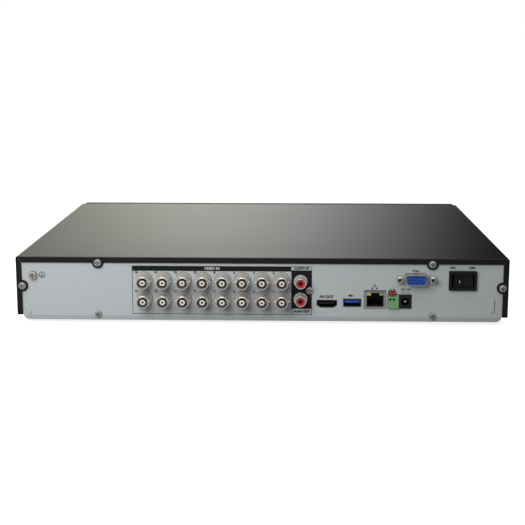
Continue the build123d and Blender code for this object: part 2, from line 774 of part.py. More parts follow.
with BuildPart() as hdmi_tongue:
    with BuildSketch(facing_rear(rear_y - 0.6)):
        with Locations((hdmi_x, hdmi_z + 0.4)):
            Rectangle(11.4, 1.1)
    extrude(amount=10.2)
    with BuildSketch(facing_rear(rear_y - 8.8)):
        with Locations((hdmi_x, hdmi_z)):
            add(hdmi_outline(14.0, 4.5))
    extrude(amount=1.9)
write(hdmi_tongue, "hdmi_tongue")


def usb_shell_part(center_x, center_z, mouth, length, inward):
    """USB type A shell with flared lips. inward is 1 for a port that faces the rear, -1 for the front."""
    width, height = 13.2, 5.8
    with BuildPart() as shell:
        with BuildSketch(facing_rear(mouth)):
            with Locations((center_x, center_z)):
                RectangleRounded(width, height, 0.5)
        extrude(amount=inward * length)
        with BuildSketch(facing_rear(mouth)):
            with Locations((center_x, center_z)):
                RectangleRounded(width - 2 * port_wall, height - 2 * port_wall, 0.3)
        extrude(amount=inward * (length - 0.6), mode=Mode.SUBTRACT)
        with BuildSketch(facing_rear(mouth)):
            for side in (-1, 1):
                with Locations((center_x, center_z + side * (height / 2 + 0.05))):
                    Rectangle(11.0, 0.3)
                with Locations((center_x + side * (width / 2 + 0.05), center_z)):
                    Rectangle(0.3, 3.8)
        extrude(amount=inward * 0.4)
    return shell.part


def usb_tongue_part(center_x, center_z, mouth, length, inward):
    """The plastic tongue and the floor of the receptacle behind it."""
    with BuildPart() as tongue:
        with BuildSketch(facing_rear(mouth - inward * 0.9)):
            with Locations((center_x, center_z + 0.9)):
                RectangleRounded(11.2, 2.0, 0.3)
        extrude(amount=inward * (length - 1.6))
        with BuildSketch(facing_rear(mouth - inward * (length - 3.6))):
            with Locations((center_x, center_z)):
                Rectangle(12.3, 5.0)
        extrude(amount=inward * 2.9)
    return tongue.part


with BuildPart() as usb_rear_shell:
    add(usb_shell_part(usb_x, usb_z, rear_y + 0.4, 16.0, 1))
write(usb_rear_shell, "usb_rear_shell")

with BuildPart() as usb_rear_tongue:
    add(usb_tongue_part(usb_x, usb_z, rear_y + 0.4, 16.0, 1))
write(usb_rear_tongue, "usb_rear_tongue")


# ---------------------------------------------------------------- network jack
lan_width, lan_height = 16.2, 13.4
lan_mouth_y = rear_y + 0.5
lan_length, lan_cavity_depth = 21.0, 13.0
lan_mouth = (13.0, 11.0)
lan_mouth_rise = 0.2
lan_cavity = (11.9, 7.9)
lan_latch = (6.2, 2.4)
lan_wire_pitch, lan_wire = 1.02, 0.4
lan_led = (3.2, 2.2)
lan_led_aside = 4.8
lan_led_z = lan_z + 4.6

with BuildPart() as lan_shell:
    with BuildSketch(facing_rear(lan_mouth_y)):
        with Locations((lan_x, lan_z)):
            RectangleRounded(lan_width, lan_height, 0.5)
    extrude(amount=lan_length)
    with BuildSketch(facing_rear(lan_mouth_y - port_wall)):
        with Locations((lan_x, lan_z)):
            Rectangle(lan_width - 2 * port_wall, lan_height - 2 * port_wall)
    extrude(amount=lan_length - 2 * port_wall, mode=Mode.SUBTRACT)
    with BuildSketch(facing_rear(lan_mouth_y)):
        with Locations((lan_x, lan_z + lan_mouth_rise)):
            Rectangle(*lan_mouth)
    extrude(amount=1.0, mode=Mode.SUBTRACT)
write(lan_shell, "lan_shell")

with BuildPart() as lan_insert:
    with BuildSketch(facing_rear(lan_mouth_y - port_wall - 0.05)):
        with Locations((lan_x, lan_z)):
            Rectangle(lan_width - 2 * port_wall - 0.1, lan_height - 2 * port_wall - 0.1)
        # Plug cavity with the latch channel above it
        with Locations((lan_x, lan_z - 1.15)):
            Rectangle(*lan_cavity, mode=Mode.SUBTRACT)
        with Locations((lan_x, lan_z + 3.9)):
            Rectangle(*lan_latch, mode=Mode.SUBTRACT)
        for side in (-1, 1):
            with Locations((lan_x + side * lan_led_aside, lan_led_z)):
                Rectangle(lan_led[0] + 0.04, lan_led[1] + 0.04, mode=Mode.SUBTRACT)
    extrude(amount=lan_cavity_depth)
    with BuildSketch(facing_rear(lan_mouth_y - lan_cavity_depth)):
        with Locations((lan_x, lan_z)):
            Rectangle(lan_width - 2 * port_wall - 0.1, lan_height - 2 * port_wall - 0.1)
    extrude(amount=6.5)
write(lan_insert, "lan_insert")

with BuildPart() as lan_contacts:
    # Eight sprung wires that rise from the floor of the cavity towards its back
    with BuildSketch(Plane.YZ.offset(lan_x - 3.5 * lan_wire_pitch - lan_wire / 2)):
        with BuildLine():
            Polyline(
                (lan_mouth_y - 2.0, lan_z - 5.0),
                (lan_mouth_y - 2.0, lan_z - 4.65),
                (lan_mouth_y - 12.6, lan_z - 2.2),
                (lan_mouth_y - 12.9, lan_z - 2.2),
                (lan_mouth_y - 12.9, lan_z - 2.6),
                close=True,
            )
        make_face()
    extrude(amount=lan_wire)
    one_wire = lan_contacts.part
    with Locations(*[(i * lan_wire_pitch, 0, 0) for i in range(1, 8)]):
        add(one_wire)
write(lan_contacts, "lan_contacts")

for led_name, led_side in (("lan_led_yellow", 1), ("lan_led_green", -1)):
    with BuildPart() as lan_led_piece:
        with BuildSketch(facing_rear(lan_mouth_y - port_wall - 0.1)):
            with Locations((lan_x + led_side * lan_led_aside, lan_led_z)):
                Rectangle(*lan_led)
        extrude(amount=12.5)
    write(lan_led_piece, led_name)


# ---------------------------------------------------------------- control-bus terminal
bus_width = 8.2
bus_bottom_z = board_top_z
bus_face_y = rear_y + 1.6
bus_pitch = 2.54
bus_button_x = [bus_x + bus_buttons_aside + side * bus_pitch / 2 for side in (1, -1)]
bus_button = (2.2, 3.2)
bus_button_z = bus_z + 6.0
bus_top = 4.9  # top of the body above the connector's middle

with BuildPart() as rs485_body:
    with BuildSketch(facing_rear(bus_face_y)):
        with Locations((bus_x, (bus_bottom_z + bus_z + bus_top) / 2)):
            Rectangle(bus_width, bus_z + bus_top - bus_bottom_z)
    extrude(amount=14.0)
    chamfer(rs485_body.faces().sort_by(Axis.Y)[-1].edges(), 0.3)
    # Hood that guides the two release buttons
    with BuildSketch(facing_rear(panel_in_y - 0.1)):
        with Locations((bus_x, bus_z + 6.2)):
            Rectangle(bus_width, 6.0)
    extrude(amount=11.3)
    with BuildSketch(facing_rear(bus_face_y + 1)):
        with Locations(*[(x, bus_button_z) for x in bus_button_x]):
            Rectangle(bus_button[0] + 0.3, bus_button[1] + 0.4)
    extrude(amount=10.0, mode=Mode.SUBTRACT)
    # Wire entries
    with BuildSketch(facing_rear(bus_face_y)):
        with Locations(*[(x, bus_z + 1.6) for x in bus_button_x]):
            Circle(1.0)
    extrude(amount=9.0, mode=Mode.SUBTRACT)
write(rs485_body, "rs485_body")

for button_name, button_x in (("rs485_button_a", bus_button_x[0]), ("rs485_button_b", bus_button_x[1])):
    with BuildPart() as release_button:
        with BuildSketch(facing_rear(bus_face_y + 0.5)):
            with Locations((button_x, bus_button_z)):
                Rectangle(*bus_button)
        extrude(amount=8.0)
        fillet(release_button.faces().sort_by(Axis.Y)[-1].edges(), 0.3)
        # Screwdriver slot
        with BuildSketch(facing_rear(bus_face_y + 0.5)):
            with Locations((button_x, bus_button_z)):
                Rectangle(1.4, 0.6)
        extrude(amount=0.6, mode=Mode.SUBTRACT)
    write(release_button, button_name)


# ---------------------------------------------------------------- power inlet
dc_width, dc_height = 9.0, 10.6
dc_face_y = rear_y + 0.8

with BuildPart() as dc_jack_body:
    with BuildSketch(facing_rear(dc_face_y)):
        with Locations((dc_x, dc_z)):
            Rectangle(dc_width, dc_height)
    extrude(amount=14.4)
    chamfer(dc_jack_body.faces().sort_by(Axis.Y)[-1].edges(), 0.25)
    with BuildSketch(facing_rear(dc_face_y)):
        with Locations((dc_x, dc_z)):
            Circle(3.15)
    extrude(amount=10.0, mode=Mode.SUBTRACT)
write(dc_jack_body, "dc_jack_body")

with BuildPart() as dc_jack_pin:
    with BuildSketch(facing_rear(dc_face_y - 0.8)):
        with Locations((dc_x, dc_z)):
            Circle(1.05)
    extrude(amount=9.2)
    fillet(dc_jack_pin.edges().filter_by(GeomType.CIRCLE).sort_by(Axis.Y)[-1], 0.5)
write(dc_jack_pin, "dc_jack_pin")


# ---------------------------------------------------------------- VGA connector on its riser
vga_tip_y = rear_y + 6.0
riser_top_z = vga_z - 6.2
riser_bottom_z = riser_top_z - board_thickness

with BuildPart() as vga_shell:
    with BuildSketch(facing_rear(vga_tip_y)):
        with Locations((vga_x, vga_z)):
            add(d_outline(vga_height, vga_top_width, 1.9))
    extrude(amount=6.0 + sheet + 0.4)
    with BuildSketch(facing_rear(vga_tip_y)):
        with Locations((vga_x, vga_z)):
            add(d_outline(vga_height - 2 * vga_wall, vga_top_width - 2 * vga_wall, 1.5))
    extrude(amount=8.0, mode=Mode.SUBTRACT)
    # Flange clamped behind the panel
    with BuildSketch(facing_rear(panel_in_y)):
        with Locations((vga_x, vga_z)):
            RectangleRounded(30.8, 12.4, 1.0)
            add(d_outline(vga_height - 2 * vga_wall, vga_top_width - 2 * vga_wall, 1.5), mode=Mode.SUBTRACT)
            with GridLocations(vga_screw_spacing, 0, 2, 1):
                Circle(m3_hole, mode=Mode.SUBTRACT)
    extrude(amount=0.8)
write(vga_shell, "vga_shell")

with BuildPart() as vga_insert:
    with BuildSketch(facing_rear(vga_tip_y - 0.9)):
        with Locations((vga_x, vga_z)):
            add(d_outline(vga_height - 2 * vga_wall - 0.1, vga_top_width - 2 * vga_wall - 0.1, 1.45))
    extrude(amount=vga_tip_y - 0.9 - panel_in_y + 0.8)
    with BuildSketch(facing_rear(panel_in_y - 0.8)):
        with Locations((vga_x, vga_z)):
            Rectangle(30.8, 12.4)
            with GridLocations(vga_screw_spacing, 0, 2, 1):
                Circle(m3_hole, mode=Mode.SUBTRACT)
    extrude(amount=9.0)
    # Fifteen contact holes in three rows, the middle row half a pitch aside
    with BuildSketch(facing_rear(vga_tip_y)):
        for row, shift in ((1, 0.0), (0, 1.14), (-1, 0.0)):
            with Locations((vga_x + shift, vga_z + row * 2.0)):
                with GridLocations(2.29, 0, 5, 1):
                    Circle(0.55)
    extrude(amount=5.0, mode=Mode.SUBTRACT)
write(vga_insert, "vga_insert")

jackscrew_bore, jackscrew_reach, jackscrew_half_width = 1.42, 5.6, 2.4  # 4-40 UNC

with BuildPart() as vga_jackscrews:
    with BuildSketch(facing_rear(rear_y + jackscrew_reach)):
        with Locations((vga_x, vga_z)):
            with GridLocations(vga_screw_spacing, 0, 2, 1):
                RegularPolygon(jackscrew_half_width, 6, major_radius=False)
    extrude(amount=jackscrew_reach)
    nut_edges = vga_jackscrews.faces().sort_by(Axis.Y)[-2:].edges()
    chamfer(nut_edges, 0.35)
    with BuildSketch(facing_rear(rear_y)):
        with Locations((vga_x, vga_z)):
            with GridLocations(vga_screw_spacing, 0, 2, 1):
                Circle(m3_shank)
    extrude(amount=8.0)
    with BuildSketch(facing_rear(rear_y + jackscrew_reach)):
        with Locations((vga_x, vga_z)):
            with GridLocations(vga_screw_spacing, 0, 2, 1):
                Circle(jackscrew_bore)
    extrude(amount=5.0, mode=Mode.SUBTRACT)
write(vga_jackscrews, "vga_jackscrews")

with BuildPart() as vga_riser_board:
    with BuildSketch(Plane.XY.offset(riser_bottom_z)):
        with Locations((vga_x, 112.0)):
            Rectangle(34.0, 29.0)
    extrude(amount=board_thickness)
    # Pin header that carries the riser over the main board
    with BuildSketch(Plane.XY.offset(board_top_z)):
        with Locations((-112.0, 100.5)):
            Rectangle(18.0, 4.6)
    extrude(amount=riser_bottom_z - board_top_z)
write(vga_riser_board, "vga_riser_board")


# ---------------------------------------------------------------- power switch
switch_frame_size = (21.0, 15.2)
switch_body_size = (19.0, 12.8)
switch_opening = (17.2, 10.2)
switch_pivot_y = rear_y - 2.0
switch_pin_radius = 0.9
switch_tilt = 9.0  # either side of level
rocker_size = (15.3, 9.8)
rocker_pin_length = 11.8

with BuildPart() as switch_frame:
    with BuildSketch(facing_rear(rear_y + 2.0)):
        with Locations((switch_x, switch_z)):
            RectangleRounded(*switch_frame_size, 0.8)
    extrude(amount=2.0)
    fillet(switch_frame.faces().sort_by(Axis.Y)[-1].edges(), 0.6)
    with BuildSketch(facing_rear(rear_y)):
        with Locations((switch_x, switch_z)):
            Rectangle(*switch_body_size)
    extrude(amount=17.0)
    with BuildSketch(facing_rear(rear_y + 3.0)):
        with Locations((switch_x, switch_z)):
            Rectangle(*switch_opening)
    extrude(amount=15.0, mode=Mode.SUBTRACT)
    # Bearings for the rocker's pins
    with BuildSketch(Plane.XY.offset(switch_z - rocker_pin_length / 2 - 0.1)):
        with Locations((switch_x, switch_pivot_y)):
            Circle(switch_pin_radius + bearing_clearance)
    extrude(amount=rocker_pin_length + 0.2, mode=Mode.SUBTRACT)
write(switch_frame, "switch_frame")

with BuildPart() as switch_rocker:
    # Drawn level as a shallow V across its length, then tipped so that its "off" end is pressed in
    with BuildSketch(Plane.XY.offset(switch_z - rocker_size[1] / 2)):
        with BuildLine():
            half = rocker_size[0] / 2
            crest_y = rear_y + 2.1
            waist_y = rear_y + 0.7
            Line((switch_x - half, crest_y), (switch_x, waist_y))
            Line((switch_x, waist_y), (switch_x + half, crest_y))
            Line((switch_x + half, crest_y), (switch_x + half - 1.6, rear_y - 5.5))
            Line((switch_x + half - 1.6, rear_y - 5.5), (switch_x, rear_y - 9.0))
            Line((switch_x, rear_y - 9.0), (switch_x - half + 1.6, rear_y - 5.5))
            Line((switch_x - half + 1.6, rear_y - 5.5), (switch_x - half, crest_y))
        make_face()
    extrude(amount=rocker_size[1])
    fillet(switch_rocker.edges().filter_by(Axis.Z).group_by(Axis.Y)[-1], 0.5)
    with BuildSketch(Plane.XY.offset(switch_z - rocker_pin_length / 2)):
        with Locations((switch_x, switch_pivot_y)):
            Circle(switch_pin_radius)
    extrude(amount=rocker_pin_length)
    level_rocker = switch_rocker.part
rocker_axis = Axis((switch_x, switch_pivot_y, 0), (0, 0, 1))
switch_rocker.part = level_rocker.rotate(rocker_axis, switch_tilt)
write(switch_rocker, "switch_rocker")

with BuildPart() as switch_terminals:
    with BuildSketch(facing_rear(rear_y - 17.0)):
        with Locations((switch_x - 4.5, switch_z), (switch_x + 4.5, switch_z)):
            Rectangle(0.8, 4.8)
    extrude(amount=8.0)
write(switch_terminals, "switch_terminals")


# ---------------------------------------------------------------- main board and what stands on it
chip_at = [(x, 96.0) for x in (80.0, 52.0, 24.0, -4.0)]  # video decoders behind the jacks
memory_at = [(-62.0, 62.0), (-62.0, 76.0), (-16.0, 62.0), (-16.0, 76.0)]
processor_xy = (-39.0, 72.0)
heat_sink_size = (42.0, 42.0, 16.0)
capacitor_at = [(-106.0, 72.0), (-106.0, 84.0), (-95.0, 76.0), (-100.5, 93.0), (30.0, 60.0), (60.0, 60.0)]
coin_cell_xy = (44.0, 75.0)
network_chip_xy = (-86.7, 88.0)
small_chip_at = [(88.0, 68.0), (76.0, 68.0), (-72.0, 100.0)]
header_at = [(92.0, 55.0), (-110.0, 60.0), (76.0, 50.0)]  # fan, switch and front board
chip_height = 1.6
memory_height = 1.2
standoff_half_width = 2.75
sata_body = (16.0, 5.6)
capacitor_radius, capacitor_height = 4.0, 11.0
cell_radius, cell_holder_radius = 10.0, 11.5
fin_pitch, fin_count, fin = 4.1, 11, 1.0
data_plug_x, power_plug_x = -110.0, -91.0
sata_at = [(data_plug_x, 49.5), (6.0, 49.5)]
power_at = [(power_plug_x, 49.5), (26.0, 49.5)]

with BuildPart() as main_board:
    with BuildSketch(Plane.XY.offset(board_bottom_z)):
        with Locations(((board_left_x + board_right_x) / 2, (board_front_y + board_rear_y) / 2)):
            RectangleRounded(board_left_x - board_right_x, board_rear_y - board_front_y, 1.5)
        with Locations(*standoff_at):
            Circle(m3_hole, mode=Mode.SUBTRACT)
    extrude(amount=board_thickness)
write(main_board, "main_board")

with BuildPart() as board_standoffs:
    with BuildSketch(Plane.XY.offset(floor_z)):
        with Locations(*standoff_at):
            RegularPolygon(standoff_half_width, 6, major_radius=False)
            Circle(m3_shank + 0.02, mode=Mode.SUBTRACT)
    extrude(amount=board_bottom_z - floor_z)
    with BuildSketch(Plane.XY.offset(floor_z)):
        with Locations(*front_standoff_at):
            RegularPolygon(standoff_half_width, 6, major_radius=False)
            Circle(m3_shank + 0.02, mode=Mode.SUBTRACT)
    extrude(amount=front_board_z - floor_z)
write(board_standoffs, "board_standoffs")

with BuildPart() as board_chips:
    with BuildSketch(Plane.XY.offset(board_top_z)):
        with Locations(*chip_at):
            RectangleRounded(14.0, 14.0, 0.4)
        with Locations(processor_xy):
            RectangleRounded(27.0, 27.0, 0.6)
        with Locations(network_chip_xy):
            RectangleRounded(16.0, 13.0, 0.4)
    extrude(amount=chip_height)
    with BuildSketch(Plane.XY.offset(board_top_z)):
        with Locations(*memory_at):
            Rectangle(8.0, 12.0)
        with Locations(*small_chip_at):
            Rectangle(6.0, 8.0)
    extrude(amount=memory_height)
write(board_chips, "board_chips")

with BuildPart() as heat_sink:
    with BuildSketch(Plane.XY.offset(board_top_z + chip_height)):
        with Locations(processor_xy):
            Rectangle(28.0, 28.0)
    extrude(amount=1.0)
    with BuildSketch(Plane.XY.offset(board_top_z + 2.6)):
        with Locations(processor_xy):
            Rectangle(heat_sink_size[0], heat_sink_size[1])
    extrude(amount=2.4)
    with BuildSketch(Plane.XY.offset(board_top_z + 5.0)):
        with Locations(processor_xy):
            with GridLocations(fin_pitch, 0, fin_count, 1):
                Rectangle(fin, heat_sink_size[1])
    extrude(amount=heat_sink_size[2] - 5.0)
write(heat_sink, "heat_sink")

with BuildPart() as capacitors:
    with BuildSketch(Plane.XY.offset(board_top_z)):
        with Locations(*capacitor_at):
            Circle(capacitor_radius)
    extrude(amount=capacitor_height)
    fillet(capacitors.faces().group_by(Axis.Z)[-1].edges(), 0.5)
write(capacitors, "capacitors")

with BuildPart() as sata_sockets:
    with BuildSketch(Plane.XY.offset(board_top_z)):
        with Locations(*sata_at):
            Rectangle(*sata_body)
            Rectangle(12.4, 2.4, mode=Mode.SUBTRACT)
    extrude(amount=8.0)
    with BuildSketch(Plane.XY.offset(board_top_z)):
        with Locations(*sata_at):
            Rectangle(*sata_body)
    extrude(amount=1.2)
    # Power header beside each data socket, and the fan, switch and front-board headers
    with BuildSketch(Plane.XY.offset(board_top_z)):
        with Locations(*power_at):
            Rectangle(11.0, 5.6)
        with Locations(*header_at):
            Rectangle(7.6, 5.6)
    extrude(amount=6.0)
write(sata_sockets, "sata_sockets")

with BuildPart() as coin_cell:
    with BuildSketch(Plane.XY.offset(board_top_z)):
        with Locations(coin_cell_xy):
            Circle(cell_holder_radius)
    extrude(amount=1.6)
    with BuildSketch(Plane.XY.offset(board_top_z + 1.6)):
        with Locations(coin_cell_xy):
            Circle(cell_radius)
    extrude(amount=3.2)
    fillet(coin_cell.faces().sort_by(Axis.Z)[-1].edges(), 0.6)
write(coin_cell, "coin_cell")


# ---------------------------------------------------------------- front board and port
front_board_mid = (126.0, -113.0)

with BuildPart() as front_board:
    with BuildSketch(Plane.XY.offset(front_board_z)):
        with Locations(front_board_mid):
            Rectangle(64.0, 24.0)
        with Locations(*front_standoff_at):
            Circle(m3_hole, mode=Mode.SUBTRACT)
    extrude(amount=board_thickness)
    # Lamp block behind the light pipes, then the cable header
    with BuildSketch(Plane.XY.offset(front_board_top_z)):
        with Locations((pipe_x[1], -121.5)):
            Rectangle(28.0, 5.0)
    extrude(amount=10.0)
    with BuildSketch(Plane.XY.offset(front_board_top_z)):
        with Locations((front_board_mid[0], -104.5)):
            Rectangle(10.0, 5.0)
    extrude(amount=6.0)
write(front_board, "front_board")

with BuildPart() as usb_front_shell:
    add(usb_shell_part(front_port_x, front_port_z, front_y + 0.8, 24.0, -1))
write(usb_front_shell, "usb_front_shell")

with BuildPart() as usb_front_tongue:
    add(usb_tongue_part(front_port_x, front_port_z, front_y + 0.8, 24.0, -1))
write(usb_front_tongue, "usb_front_tongue")


# ---------------------------------------------------------------- hard drive
casting_height = 23.0
lid_thickness = 1.4
spindle_xy = (drive_x, drive_front_y + 52.0)
platter_radius = 47.0
platter_thickness = 1.3
platter_gap = 5.0
cavity_floor_z = drive_z + 7.0
pivot_xy = (drive_x + 20.0, drive_front_y + 106.0)
pivot_post_radius = 2.5
spindle_post_radius = 3.0
arm_reach = 50.0
park_angle = 196.6  # clear of the platters' rim
arm_level_z = (-2.6, 2.6, 7.6)  # above the first platter's underside
first_platter_z = cavity_floor_z + 4.0

with BuildPart() as drive_casting:
    with BuildSketch(Plane.XY.offset(drive_z)):
        with Locations((drive_x, drive_mid_y)):
            RectangleRounded(drive_width, drive_length, 3.0)
    extrude(amount=casting_height)
    # Platter well and the bay for the arm and its coil
    with BuildSketch(Plane.XY.offset(cavity_floor_z)):
        with Locations(spindle_xy):
            Circle(platter_radius + 1.4)
        with Locations((drive_x, drive_front_y + 112.0)):
            RectangleRounded(90.0, 62.0, 4.0)
    extrude(amount=casting_height, mode=Mode.SUBTRACT)
    # Recess for the circuit board underneath
    with BuildSketch(Plane.XY.offset(drive_z)):
        with Locations((drive_x, drive_front_y + 108.0)):
            Rectangle(84.0, 72.0)
    extrude(amount=4.0, mode=Mode.SUBTRACT)
    with BuildSketch(Plane.XY.offset(drive_z)):
        with Locations(*drive_screw_at):
            Circle(m3_hole)
    extrude(amount=4.5, mode=Mode.SUBTRACT)
    # Opening for the connector at the rear end
    with BuildSketch(Plane.XY.offset(drive_z)):
        with Locations((drive_x + 16.0, drive_rear_y)):
            Rectangle(44.0, 12.0)
    extrude(amount=5.6, mode=Mode.SUBTRACT)
    # Posts that the platters and the arm turn on
    with BuildSketch(Plane.XY.offset(cavity_floor_z)):
        with Locations(spindle_xy):
            Circle(spindle_post_radius)
        with Locations(pivot_xy):
            Circle(pivot_post_radius)
    extrude(amount=drive_z + casting_height - cavity_floor_z)
write(drive_casting, "drive_casting")

with BuildPart() as drive_lid:
    with BuildSketch(Plane.XY.offset(drive_z + casting_height)):
        with Locations((drive_x, drive_mid_y)):
            RectangleRounded(drive_width - 1.0, drive_length - 1.0, 3.0)
    extrude(amount=lid_thickness)
    with BuildSketch(Plane.XY.offset(drive_z + casting_height + lid_thickness)):
        with Locations(spindle_xy):
            Circle(44.0)
            Circle(14.0, mode=Mode.SUBTRACT)
        with Locations((drive_x, drive_front_y + 112.0)):
            RectangleRounded(84.0, 52.0, 4.0)
    extrude(amount=0.7, taper=20)
    lid_screw_at = [
        (drive_x + i * 46.0, drive_front_y + j) for i in (-1, 1) for j in (5.0, 82.0, 141.0)
    ]
    with BuildSketch(Plane.XY.offset(drive_z + casting_height + lid_thickness)):
        with Locations(*lid_screw_at):
            Circle(2.4)
            Circle(0.9, mode=Mode.SUBTRACT)
    extrude(amount=0.6)
write(drive_lid, "drive_lid")

with BuildPart() as drive_platters:
    with BuildSketch(Plane.XY.offset(cavity_floor_z + 0.4)):
        with Locations(spindle_xy):
            Circle(12.5)
    extrude(amount=first_platter_z + platter_gap + 3.5 - cavity_floor_z)
    for level in range(2):
        with BuildSketch(Plane.XY.offset(first_platter_z + level * platter_gap)):
            with Locations(spindle_xy):
                Circle(platter_radius)
        extrude(amount=platter_thickness)
    with BuildSketch(Plane.XY.offset(cavity_floor_z)):
        with Locations(spindle_xy):
            Circle(spindle_post_radius + bearing_clearance)
    extrude(amount=casting_height, mode=Mode.SUBTRACT)
write(drive_platters, "drive_platters")

with BuildPart() as drive_arm:
    # Parked: the arms lie past the rim of the platters
    arm_dir = Vector(cos(radians(park_angle)), sin(radians(park_angle)))
    side_dir = Vector(-arm_dir.Y, arm_dir.X)
    arm_root = Vector(*pivot_xy)
    arm_tip = arm_root + arm_dir * arm_reach
    with BuildSketch(Plane.XY.offset(cavity_floor_z + 0.5)):
        with Locations(pivot_xy):
            Circle(7.0)
    extrude(amount=first_platter_z + platter_gap + 5.0 - cavity_floor_z)
    for level in arm_level_z:
        with BuildSketch(Plane.XY.offset(first_platter_z + level)):
            with BuildLine():
                Polyline(
                    arm_root + side_dir * 5.5,
                    arm_tip + side_dir * 1.1,
                    arm_tip - side_dir * 1.1,
                    arm_root - side_dir * 5.5,
                    close=True,
                )
            make_face()
        extrude(amount=0.9)
    # Coil paddle opposite the arms
    with BuildSketch(Plane.XY.offset(first_platter_z + 1.0)):
        with Locations(arm_root - arm_dir * 13.0):
            RectangleRounded(16.0, 18.0, 3.0, rotation=park_angle)
    extrude(amount=4.0)
    with BuildSketch(Plane.XY.offset(cavity_floor_z)):
        with Locations(pivot_xy):
            Circle(pivot_post_radius + bearing_clearance)
    extrude(amount=casting_height, mode=Mode.SUBTRACT)
write(drive_arm, "drive_arm")

with BuildPart() as drive_board:
    with BuildSketch(Plane.XY.offset(drive_z + 1.2)):
        with Locations((drive_x, drive_front_y + 108.0)):
            Rectangle(82.0, 70.0)
    extrude(amount=1.6)
    with BuildSketch(Plane.XY.offset(drive_z + 0.6)):
        with Locations((drive_x + 16.0, drive_rear_y - 3.2)):
            Rectangle(42.0, 5.6)
    extrude(amount=4.8)
write(drive_board, "drive_board")


# ---------------------------------------------------------------- fan
fan_outer_x = tray_half - sheet
fan_inner_x = fan_outer_x - fan_depth
fan_duct_radius = 18.8
hub_radius = 11.0
blade_radius = 18.0
blade_count = 7
fan_shaft_radius = 1.0

with BuildPart() as fan_frame:
    with BuildSketch(Plane.YZ.offset(fan_inner_x)):
        with Locations((fan_y, fan_z)):
            RectangleRounded(fan_size, fan_size, 2.0)
            Circle(fan_duct_radius, mode=Mode.SUBTRACT)
            with GridLocations(fan_hole_spacing, fan_hole_spacing, 2, 2):
                Circle(m3_hole, mode=Mode.SUBTRACT)
    extrude(amount=fan_depth)
    # Motor plate held by four spokes on the outlet side
    with BuildSketch(Plane.YZ.offset(fan_outer_x - 2.0)):
        with Locations((fan_y, fan_z)):
            Circle(hub_radius)
            Rectangle(2.2, 2 * fan_duct_radius + 1, rotation=45)
            Rectangle(2.2, 2 * fan_duct_radius + 1, rotation=-45)
            Circle(fan_shaft_radius + bearing_clearance, mode=Mode.SUBTRACT)
    extrude(amount=2.0)
write(fan_frame, "fan_frame")

with BuildPart() as fan_rotor:
    with BuildSketch(Plane.YZ.offset(fan_inner_x + 0.6)):
        with Locations((fan_y, fan_z)):
            Circle(hub_radius)
    extrude(amount=fan_depth - 3.2)
    fillet(fan_rotor.faces().sort_by(Axis.X)[0].edges(), 0.8)
    with BuildSketch(Plane.YZ.offset(fan_outer_x - 0.3)):
        with Locations((fan_y, fan_z)):
            Circle(fan_shaft_radius)
    extrude(amount=-4.0)
    for blade in range(blade_count):
        turn = 360.0 / blade_count * blade
        middle = (hub_radius + blade_radius) / 2 - 0.5
        blade_plane = Plane(
            origin=(
                fan_inner_x + 0.6 + (fan_depth - 3.2) / 2,
                fan_y + middle * cos(radians(turn)),
                fan_z + middle * sin(radians(turn)),
            ),
            x_dir=(1, 0, 0),
            z_dir=(0, cos(radians(turn)), sin(radians(turn))),
        )
        with BuildSketch(blade_plane):
            Rectangle(1.0, 8.0, rotation=48)
        extrude(amount=(blade_radius - hub_radius) / 2 + 0.4, both=True)
write(fan_rotor, "fan_rotor")


# ---------------------------------------------------------------- leads between the boards
def lead(points, radii, diameter):
    """A round lead along straight runs joined by tangent arcs."""
    with BuildPart() as run:
        with BuildLine() as route:
            FilletPolyline(*points, radius=radii)
        with BuildSketch(Plane(origin=route.line @ 0, z_dir=route.line % 0)):
            Circle(diameter / 2)
        sweep(path=route.line)
    return run.part


drive_plug_z = drive_z + 3.0
cable_top_z = 40.0

with BuildPart() as sata_cable:
    # Flat data cable: drive plug, arch, board plug
    data_x = data_plug_x
    with BuildLine() as data_route:
        FilletPolyline(
            (data_x, drive_rear_y + 7.0, drive_plug_z),
            (data_x, drive_rear_y + 17.0, drive_plug_z),
            (data_x, drive_rear_y + 17.0, cable_top_z),
            (data_x, sata_at[0][1], cable_top_z),
            (data_x, sata_at[0][1], board_top_z + 14.0),
            radius=5.0,
        )
    with BuildSketch(Plane(origin=data_route.line @ 0, x_dir=(1, 0, 0), z_dir=data_route.line % 0)):
        Rectangle(7.6, 1.1)
    sweep(path=data_route.line)
    with BuildSketch(facing_rear(drive_rear_y + 8.5)):
        with Locations((data_x, drive_plug_z)):
            Rectangle(14.0, 4.6)
    extrude(amount=8.9)
    with BuildSketch(Plane.XY.offset(board_top_z + 8.0)):
        with Locations(sata_at[0]):
            Rectangle(14.0, 4.6)
    extrude(amount=7.0)
write(sata_cable, "sata_cable")

with BuildPart() as drive_power_cable:
    power_x = power_plug_x
    for wire in range(4):
        wire_x = power_x - 4.5 + 3.0 * wire
        add(
            lead(
                [
                    (wire_x, drive_rear_y + 7.0, drive_plug_z),
                    (wire_x, drive_rear_y + 16.0, drive_plug_z),
                    (wire_x, drive_rear_y + 16.0, cable_top_z - 6.0),
                    (wire_x, sata_at[0][1], cable_top_z - 6.0),
                    (wire_x, sata_at[0][1], board_top_z + 11.0),
                ],
                5.0,
                1.8,
            )
        )
    with BuildSketch(facing_rear(drive_rear_y + 8.5)):
        with Locations((power_x, drive_plug_z)):
            Rectangle(22.0, 4.6)
    extrude(amount=8.9)
    with BuildSketch(Plane.XY.offset(board_top_z + 6.0)):
        with Locations((power_x, sata_at[0][1])):
            Rectangle(11.0, 4.8)
    extrude(amount=7.0)
write(drive_power_cable, "drive_power_cable")

